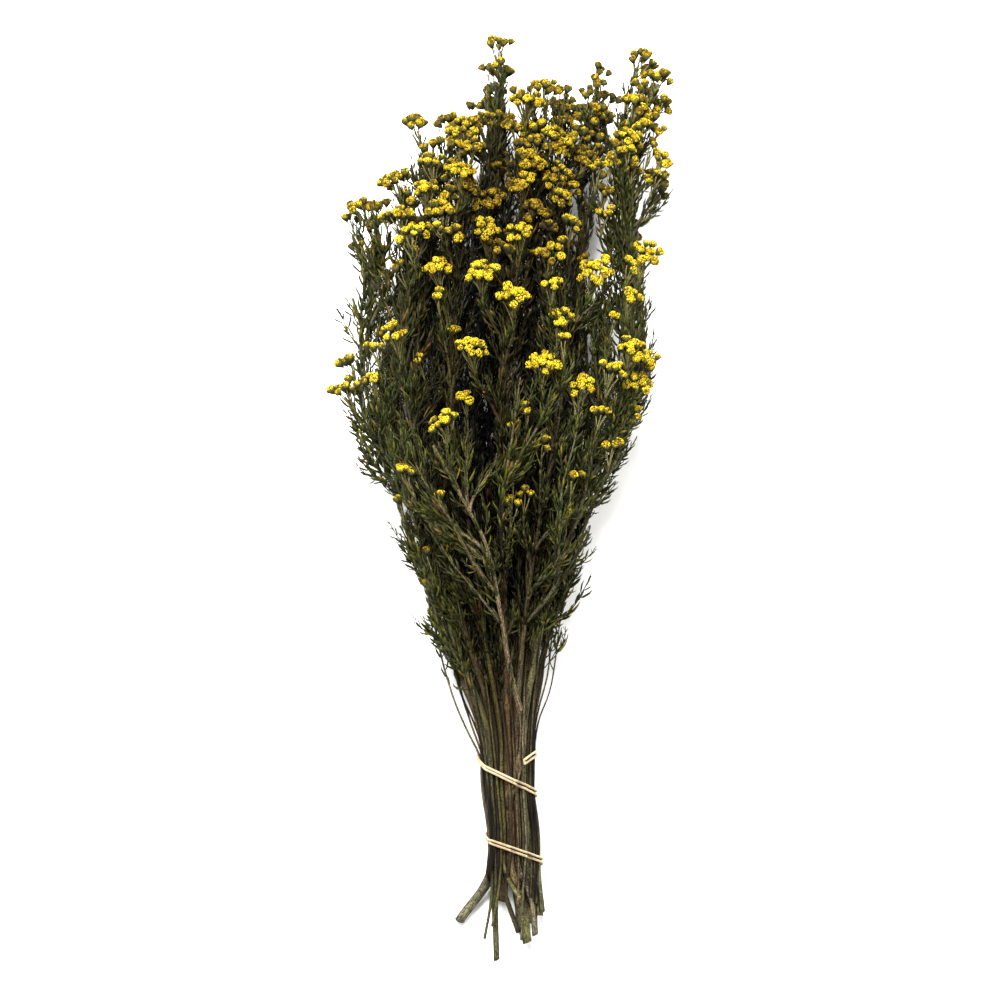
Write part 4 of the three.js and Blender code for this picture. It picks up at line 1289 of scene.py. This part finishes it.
def yellow_floret():
    """Florets: lemon to golden yellow, duller on some heads by their random tone and by painted shade, with
    an ochre-brown sunken middle and a dark base that is painted shade between the florets.
    """
    material, tree, shader = finish("yellow floret", Roughness=0.65, Specular_IOR_Level=0.12)
    tone = attribute(tree, "tone")
    eye_and_gap_shade = attribute(tree, "eye_and_gap_shade")
    grain = noise(tree, 1100, 3)
    petal = ramp(tree, tone, [(0.0, "#6a560c"), (0.25, "#a68f0f"), (0.6, "#d0bb17"),
        (1.0, "#eadf34")])
    uneven = ramp(tree, grain, [(0.3, "#b09450"), (0.6, "#ffffff")])
    rim = mix(tree, 0.6, petal, uneven, "MULTIPLY")
    # the floret's brown middle, and painted shade at its base between the florets
    eye_and_gap_colour = ramp(tree, eye_and_gap_shade, [(0.1, "#ffffff"), (0.3, "#bca244"), (0.6, "#6e5614"),
        (0.95, "#33250a")])
    paint_inner_shade(tree, shader, mix(tree, 1.0, rim, eye_and_gap_colour, "MULTIPLY"), "#6e6a42", "#b4ac84")
    bump(tree, shader, grain, 0.4, 0.0002)
    return material


def cream_elastic():
    """Elastic cord: cream, finely ribbed across its length, slightly soiled."""
    material, tree, shader = finish("cream elastic", Roughness=0.8, Sheen_Weight=0.3)
    grain = attribute(tree, "grain", "Vector")
    ribs = add(tree, "TexWave", {"Scale": 1.5, "Distortion": 1.5, "Detail": 2},
        {"bands_direction": "Z"}, Vector=grain)
    soil = noise(tree, 0.25, 4, grain)
    clean = ramp(tree, ribs.outputs["Fac"], [(0.0, "#948058"), (0.5, "#b9a67c")])
    dirt = ramp(tree, soil, [(0.4, "#e4d8bc"), (0.6, "#ffffff")])
    tree.links.new(mix(tree, 1.0, clean, dirt, "MULTIPLY"), shader.inputs["Base Color"])
    bump(tree, shader, ribs.outputs["Fac"], 0.7, 0.0003)
    return material


def pale_floor():
    """The plain floor."""
    material, _, shader = finish("pale floor", Roughness=0.9)
    shader.inputs["Base Color"].default_value = linear("#f4f3f0")
    return material


# Growing the stems


def grow():
    """Every stem's coarse lines, smooth lines and corymbs, in the solids' order."""
    room = Room()
    seed = 1
    blooms = 0
    for stem in STEMS:
        stem["line"] = stem_line(stem)
        stem["radii"] = stem_radii(stem["line"], stem["radius"])
        stem["stands_for"] = [stem["name"]]
        trunks = rods_along(stem["line"], stem["radii"], stem["name"])
        if "branch" in stem:
            branch = stem["branch"]
            branch["line"] = np.array(branch["points"], float)
            branch["radii"] = np.linspace(BRANCH_RADIUS, SHOOT_ROOT_RADIUS, len(branch["line"]))
            trunks += rods_along(branch["line"], branch["radii"], stem["name"])
        room.take([(a, b, radius * CORNER, owner) for a, b, radius, owner in trunks])
    for stem in STEMS:
        stem["trunks"] = []
        stem["shoot_lines"] = []
        stem["corymbs"] = []
        for wood in [stem] + ([stem["branch"]] if "branch" in stem else []):
            line, radii = smooth_line(wood["line"], wood["radii"], STEM_PLACES)
            stem["trunks"].append((line, radii))
            coarse = [wood["line"]]
            fine = [line]
            for row in wood["shoots"]:
                seed += 1
                close = row[3] >= BLOOM_MIN_HEADS
                bloom = f"bloom_{blooms + 1:02d}" if close else stem["name"]
                shoot = shoot_plan(coarse, row, stem["name"], bloom, seed, room)
                room.take(shoot["rods"])
                coarse.append(shoot["places"])
                path = shoot_path(shoot, fine)
                fine.append(path)
                stem["shoot_lines"].append(path)
                if shoot["plan"]:
                    stem["corymbs"].append((shoot["plan"], path))
                if close:
                    blooms += 1
                    stem["stands_for"].append(bloom)


def shoot_path(shoot, fine):
    """A shoot's smooth line, from the smooth line of the wood that it leaves."""
    root, along = place_at(fine[shoot["parent"]], shoot["places"][0, 1])
    root_way, tip_way = shoot_ways(root, along, shoot["end"])
    return bezier(root, root_way, shoot["end"], tip_way, SHOOT_PLACES)


def sprigs(paths, chance):
    """Small leafy side twigs: each leaves its shoot at a slant and curves back to run beside it."""
    found = []
    for path in paths:
        total = lengths_along(path)[-1]
        first = SPRIG_MARGIN + chance.uniform(0, SPRIG_FIRST)
        place = np.arange(first, total - SPRIG_MARGIN, SPRIG_EVERY)
        if len(place) == 0:
            continue
        roots, along, side, up = stations(path, place)
        out = turned(side, up, chance.uniform(0, TURN, len(place)))
        sizes = chance.uniform(*SPRIG_SIZES, len(place))
        for root, way, aside, size in zip(roots, along, out, sizes):
            tip = root + size * (way * SPRIG_WAY[0] + aside * SPRIG_WAY[1])
            if tip[2] > RESTING_Z and tip[1] > LOWEST_SPRIG_Y:
                tip_way = unit(way * SPRIG_TIP_WAY[0] + aside * SPRIG_TIP_WAY[1])
                found.append(bezier(root, unit(way + aside), tip, tip_way, SPRIG_PLACES))
    return np.array(found)


def lay_on_stems(points, radius, trunks):
    """A twig's line that lies on the stems: at each place as high as the stem that lifts it most,
    z = stem z + sqrt((stem radius + radius)^2 - (x - stem x)^2), evened out along its length."""
    x, y, _ = smoothed([(x, y, 0) for x, y in points], THIN_PLACES).T
    height = np.interp(y, BUNCH_FORM[:, 0], BUNCH_FORM[:, 3])
    for line, radii in trunks:
        reach = np.interp(y, line[:, 1], radii) + radius
        aside = x - np.interp(y, line[:, 1], line[:, 0])
        top = np.interp(y, line[:, 1], line[:, 2]) + np.sqrt(np.maximum(reach**2 - aside**2, 0))
        covers = (np.abs(aside) < reach) & (y > line[0, 1] - BEFORE_CUT)
        height = np.maximum(height, np.where(covers, top, height))
    padded = np.concatenate([height[:1], height[:1], height, height[-1:], height[-1:]])
    even = np.convolve(padded, SMOOTHING, "valid")
    return np.stack([x, y, np.maximum(even, height - SINK)], axis=1)


def add_thin_stems(trunks):
    """Each stem's thin twigs and front forks, as (line, radii, how young their bark is)."""
    for stem in STEMS:
        stem["thin"] = []
        stem["forks"] = []
        for owner, radius, points in THIN_STEMS:
            if owner == stem["name"]:
                line = lay_on_stems(points, radius, trunks)
                radii = np.linspace(radius, radius * THIN_TAPER, THIN_PLACES)
                stem["thin"].append((line, radii, THIN_YOUNG))
        for owner, trunk, y, radius, points in FRONT_FORKS:
            if owner == stem["name"]:
                root, _ = place_at(stem["trunks"][trunk][0], y)
                line = smoothed([root] + points, THIN_PLACES)
                radii = np.linspace(radius, radius * FORK_TAPER, THIN_PLACES)
                stem["thin"].append((line, radii, FORK_YOUNG))
                stem["forks"].append(line)


def runners(stem, chance):
    """Long thin twigs that leave a stem above the ties and run up beside it, a little further out
    with every step: line(y) + out * reach * t, with out turned to the middle of the bunch."""
    trunk = stem["trunks"][0][0]
    leader = stem["shoot_lines"][0]
    line = np.concatenate([trunk[trunk[:, 1] < leader[0, 1] - LEADER_OVERLAP], leader[1:]])
    found = []
    count = RUNNERS[stem["row"]]
    starts = np.linspace(RUNNER_FIRST_Y, RUNNER_LAST_Y, count)
    for low in starts + chance.uniform(-RUNNER_JITTER, RUNNER_JITTER, count):
        high = min(low + chance.uniform(*RUNNER_RISES), line[-1, 1] - RUNNER_END)
        t = np.linspace(0, 1, RUNNER_PLACES)
        y = low + (high - low) * t
        middle = np.stack([np.interp(y, line[:, 1], line[:, k]) for k in range(3)], axis=1)
        angle = chance.uniform(0, 2 * np.pi)
        middle_z, over = RUNNER_INWARD_Z
        inward = np.array([middle[-1, 0] / RUNNER_INWARD_X, 0, (middle[-1, 2] - middle_z) / over])
        out = np.array([np.cos(angle), 0, RUNNER_FLATNESS * np.sin(angle)]) - inward
        wave = np.sin(t * chance.uniform(*RUNNER_WAVES) + angle)
        sway = wave[:, None] * t[:, None] * RUNNER_SWAY
        path = middle + out * chance.uniform(*RUNNER_REACHES) * t[:, None] + sway
        path[:, 2] = np.maximum(path[:, 2], LOWEST_RUNNER_Z)
        found.append(path)
    return np.array(found)


def inner_twigs(stem):
    """The stem's twigs in the middle of the bunch, as smooth lines."""
    found = [smoothed(points, RUNNER_PLACES) for owner, points in INNER_TWIGS if owner == stem["name"]]
    return np.array(found).reshape(-1, RUNNER_PLACES, 3)


def companions(paths, chance):
    """Leafy twigs beside each shoot. They part from it low and midway, and high up too at the top and
    the left of the bunch, then run up next to it: shoot + out * reach * sqrt(share), with a slow sway."""
    found = []
    share = np.linspace(0, 1, COMPANION_PLACES)
    for path in paths:
        so_far = lengths_along(path)[-1]
        at_left = path[-1, 0] < LEFT_CORYMBS_X
        at_top = path[-1, 1] > TOP_SHOOTS_Y and not at_left
        for low, high in COMPANION_SPANS + ([TOP_SPAN] if at_top or at_left else []):
            start = low + chance.uniform(0, COMPANION_LATER)
            place = so_far * (start + (high + chance.uniform(*COMPANION_ENDS) - start) * share)
            middle = at_distance(path, path, place)
            angle = chance.uniform(0, 2 * np.pi)
            out = np.array([np.cos(angle), 0, np.sin(angle)])
            wave = np.sin(share * COMPANION_WAVES + angle)
            sway = wave[:, None] * share[:, None] * COMPANION_SWAY
            reach = chance.uniform(*COMPANION_REACHES) * (high - low) / COMPANION_SPANS[0][1]
            reach = max(reach, LEAST_TOP_REACH if at_top else LEAST_REACH)
            line = middle + out * reach * np.sqrt(share)[:, None] + sway
            if line[:, 2].min() > RESTING_Z:
                found.append(line)
    return np.array(found)


def twigs_of(stem, chance):
    """A stem's lines by kind: shoots, runners, companions and sprigs; "uppers", its own wood above
    the ties; "high", the twigs whose tips get a second row of leaves; and the front forks."""
    twigs = {"shoots": np.array(stem["shoot_lines"]), "forks": stem["forks"]}
    twigs["runners"] = np.concatenate([runners(stem, chance), inner_twigs(stem)])
    twigs["companions"] = np.array(beside_the_gap(companions(twigs["shoots"], chance)))
    twigs["uppers"] = [line[line[:, 1] > LEAVES_FROM_Y] for line, _ in stem["trunks"]]
    twigs["uppers"] += [line[line[:, 1] > THIN_LEAVES_FROM_Y] for line, _, _ in stem["thin"]]
    bearing = [*twigs["shoots"], *twigs["runners"], *twigs["uppers"]]
    twigs["sprigs"] = np.array(beside_the_gap(sprigs(bearing, chance)))
    twigs["high"] = [line for line in [*twigs["shoots"], *twigs["companions"]]
        if line[-1, 1] > TOP_SHOOTS_Y or line[-1, 0] < LEFT_CORYMBS_X]
    return twigs


def bark_part(stem, twigs, bound, chance):
    """All of a stem's wood: first its trunks, whose cut end comes first, then its twigs."""
    parts = []
    for line, radii in stem["trunks"]:
        slim = 1 - SLIM_SHARE * np.clip((line[:, 1] - SLIM_FROM_Y) / SLIM_OVER, 0, 1)
        path, rough = stem_tube(line, radii * BARK_RADIUS * slim, chance, stem.get("knee"))
        young = np.clip((path[:, 1] - YOUNG_FROM_Y) / YOUNG_OVER, 0, YOUNGEST)
        part = wood_part(path[None], rough[None], STEM_SIDES, young[None])
        slanted_cut(part[0], directions(path)[0], chance.uniform(-CUT_SLOPE, CUT_SLOPE))
        part[2]["crevice"] = crevices(part[0], line, bound)
        parts.append(part)
    for line, radii, young in stem["thin"]:
        part = wood_part(line[None], radii[None], SHOOT_SIDES, np.full((1, THIN_PLACES), young))
        part[2]["crevice"] = crevices(part[0], line, bound)
        parts.append(part)
    for kind, (thick, young, sides) in TWIG_WOOD.items():
        shape = twigs[kind].shape[:2]
        radii, ages = [np.broadcast_to(np.linspace(*ends, shape[1]), shape) for ends in (thick, young)]
        parts.append(wood_part(twigs[kind], radii, sides, ages))
    return joined(parts)


def heads_of(stem, twigs, chance):
    """A stem's flower heads as (centres, ways, sizes, tones), their stalks, and the stalks' leaves."""
    flowering = [line for line in twigs["companions"]
        if line[-1, 1] > SMALL_CORYMB_Y and line[-1, 2] > SMALL_CORYMB_Z
        and (line[-1, 0] > LEFT_CORYMBS_X or chance.uniform() < LEFT_SHARE)]
    heads = []
    stalks = []
    leaves = []
    for plan, path in stem["corymbs"] + [small_corymb(line, chance) for line in flowering]:
        centres, ways = blossom_places(plan, chance)
        tones = head_tones(centres, chance)
        heads.append((centres, ways, chance.uniform(*HEAD_SIZES, len(centres)), tones))
        stalk_paths, stalk = stalk_part(path, centres, ways, tones)
        stalks.append(stalk)
        leaves.append(leaves_on(stalk_paths, STALK_LEAVES, chance))
    return [np.concatenate(column) for column in zip(*heads)], stalks, leaves


def dress(stem, order, bound, barks, materials):
    """A stem's bark, leaves, cups with their stalks, and flower heads."""
    chance = np.random.default_rng(FIRST_SEED + order)
    names = stem["stands_for"]
    twigs = twigs_of(stem, chance)
    wood = bark_part(stem, twigs, bound, chance)
    is_cut = (np.arange(len(wood[1])) < STEM_SIDES).astype(int)
    piece("bark_of_" + stem["name"], wood, [barks[BARK_OF[stem["name"]]], materials["cut"]],
        names[:1], is_cut)
    leaf_sets = [leaves_on(twigs[kind], row, chance) for kind, row in LEAF_ROWS.items()]
    heads, stalks, stalk_leaves = heads_of(stem, twigs, chance)
    columns = zip(*[leaves for leaves in leaf_sets + stalk_leaves if leaves])
    leaves = clear_of_surface([np.concatenate(column) for column in columns])
    piece("leaves_of_" + stem["name"], leaf_part(*leaves), [materials["leaf"]], names[:1])
    cups = joined([cup_part(*heads)] + stalks)
    piece("cups_of_" + stem["name"], cups, [materials["cup"]], names[:1])
    florets = floret_part(*heads, chance)
    piece("flowers_of_" + stem["name"], florets, [materials["floret"]], names)


# Ties


def tie_line(turns, trunks):
    """A tie's middle line and its outward directions.

    At each angle it stands off the stem that reaches furthest that way, and between two of its
    turns it climbs evenly with its own length. Its two strands part towards the right side."""
    angles, heights = np.array(turns, float).T
    steps = int(abs(angles[-1] - angles[0]) / TIE_STEP)
    degrees = np.linspace(angles[0], angles[-1], steps)
    y = np.interp(-degrees, -angles, heights)
    apart = STRANDS_APART[0] + STRANDS_APART[1] * np.cos(np.radians(degrees))

    def strand(shift):
        """One strand, shifted along the stems, and its outward directions."""
        found = []
        outs = []
        for angle, height in zip(np.radians(degrees), y + shift * apart):
            out = np.array([np.cos(angle), 0, np.sin(angle)])
            here = [(line, radius) for line, radius in trunks if line[0, 1] < height]
            centres = [place_at(line, height)[0] for line, _ in here]
            radii = [np.interp(height, line[:, 1], radius) for line, radius in here]
            reach = np.array(centres) @ out + np.array(radii)
            k = int(np.argmax(reach))
            stand_off = radii[k] * BARK_RADIUS * RIPPLE_ROOM + TIE_CLEARANCE + STRAND_RADIUS
            found.append(centres[k] + stand_off * out)
            outs.append(out)
        path = np.array(found)
        way = np.linalg.norm(np.diff(path[:, [0, 2]], axis=0), axis=1)
        so_far = np.concatenate([[0], np.cumsum(way)])
        knots = np.interp(-angles, -degrees, so_far)
        path[:, 1] = np.interp(so_far, knots, heights) + shift * apart
        return path, np.array(outs)

    front, front_out = strand(STRAND_PITCH / 2)
    back, back_out = strand(-STRAND_PITCH / 2)
    return np.concatenate([front, back[::-1]]), np.concatenate([front_out, back_out[::-1]])


def tie_part(path, outs):
    """A closed loop of cord: rings of points square to the path, up = out, side = out x along."""
    count = len(path)
    along = unit(np.roll(path, -1, axis=0) - np.roll(path, 1, axis=0))
    side = unit(np.cross(outs, along))
    up = unit(np.cross(along, side))
    cosine, sine = circle(STRAND_SIDES)
    ring = path[:, None] + STRAND_RADIUS * spokes(side, up, STRAND_SIDES)
    k = np.arange(count)[:, None]
    i = np.arange(STRAND_SIDES)[None]
    after = (k + 1) % count
    beside = (i + 1) % STRAND_SIDES
    a, b = k * STRAND_SIDES + i, k * STRAND_SIDES + beside
    c, d = after * STRAND_SIDES + i, after * STRAND_SIDES + beside
    faces = np.concatenate([np.stack(corners, -1).reshape(-1, 3) for corners in ((a, b, d), (a, d, c))])
    distance = lengths_along(path)[:, None]
    grain = np.stack(np.broadcast_arrays(cosine * STRAND_RADIUS, sine * STRAND_RADIUS, distance), -1)
    return ring.reshape(-1, 3), faces, {"grain": grain.reshape(-1, 3)}


# The scene


def light(name, place, size, watts, target=(0, 0, 0.05)):
    """A square soft light at a place, turned to a target."""
    lamp = bpy.data.lights.new(name, "AREA")
    lamp.size = size
    lamp.energy = watts
    thing = bpy.data.objects.new(name, lamp)
    thing.location = place
    way = np.array(target) - np.array(place)
    thing.rotation_euler = Vector(way).to_track_quat("-Z", "Y").to_euler()
    bpy.context.scene.collection.objects.link(thing)


def studio():
    """A pale floor, two soft lights, an even sky and the camera straight above."""
    bpy.ops.mesh.primitive_plane_add(size=FLOOR_SIZE)
    floor = bpy.context.object
    floor.name = "floor"
    floor.data.materials.append(pale_floor())
    light("key", *KEY_LIGHT)
    light("fill", *FILL_LIGHT)
    world = bpy.data.worlds.new("studio")
    world.use_nodes = True
    sky = world.node_tree.nodes["Background"]
    sky.inputs["Color"].default_value = (1, 1, 1, 1)
    sky.inputs["Strength"].default_value = SKY_STRENGTH
    bpy.context.scene.world = world
    camera = bpy.data.objects.new("camera", bpy.data.cameras.new("camera"))
    camera.data.lens = LENS
    camera.data.sensor_width = SENSOR
    distance = MM_PER_PIXEL * FRAME_PIXELS * LENS / SENSOR
    x, y = FRAME_MIDDLE
    camera.location = (x / 1000, y / 1000, (FRAME_HEIGHT + distance) / 1000)
    bpy.context.scene.collection.objects.link(camera)
    bpy.context.scene.camera = camera


grow()
ALL_TRUNKS = [trunk for stem in STEMS for trunk in stem["trunks"]]
add_thin_stems(ALL_TRUNKS)
MATERIALS = {"cut": cut_wood(), "leaf": dried_leaf(), "cup": green_cup(), "floret": yellow_floret()}
BARK_MATERIALS = {name: bark(name.replace("_", " ") + " bark", *hues) for name, hues in BARKS.items()}
BOUND = ALL_TRUNKS + [thin[:2] for stem in STEMS for thin in stem["thin"]]
for number, stem in enumerate(STEMS):
    dress(stem, number, BOUND, BARK_MATERIALS, MATERIALS)
ELASTIC = cream_elastic()
for name, turns in TIES.items():
    piece("elastic_" + name, tie_part(*tie_line(turns, BOUND)), [ELASTIC], [name])
studio()
bpy.context.scene.view_settings.view_transform = "Standard"
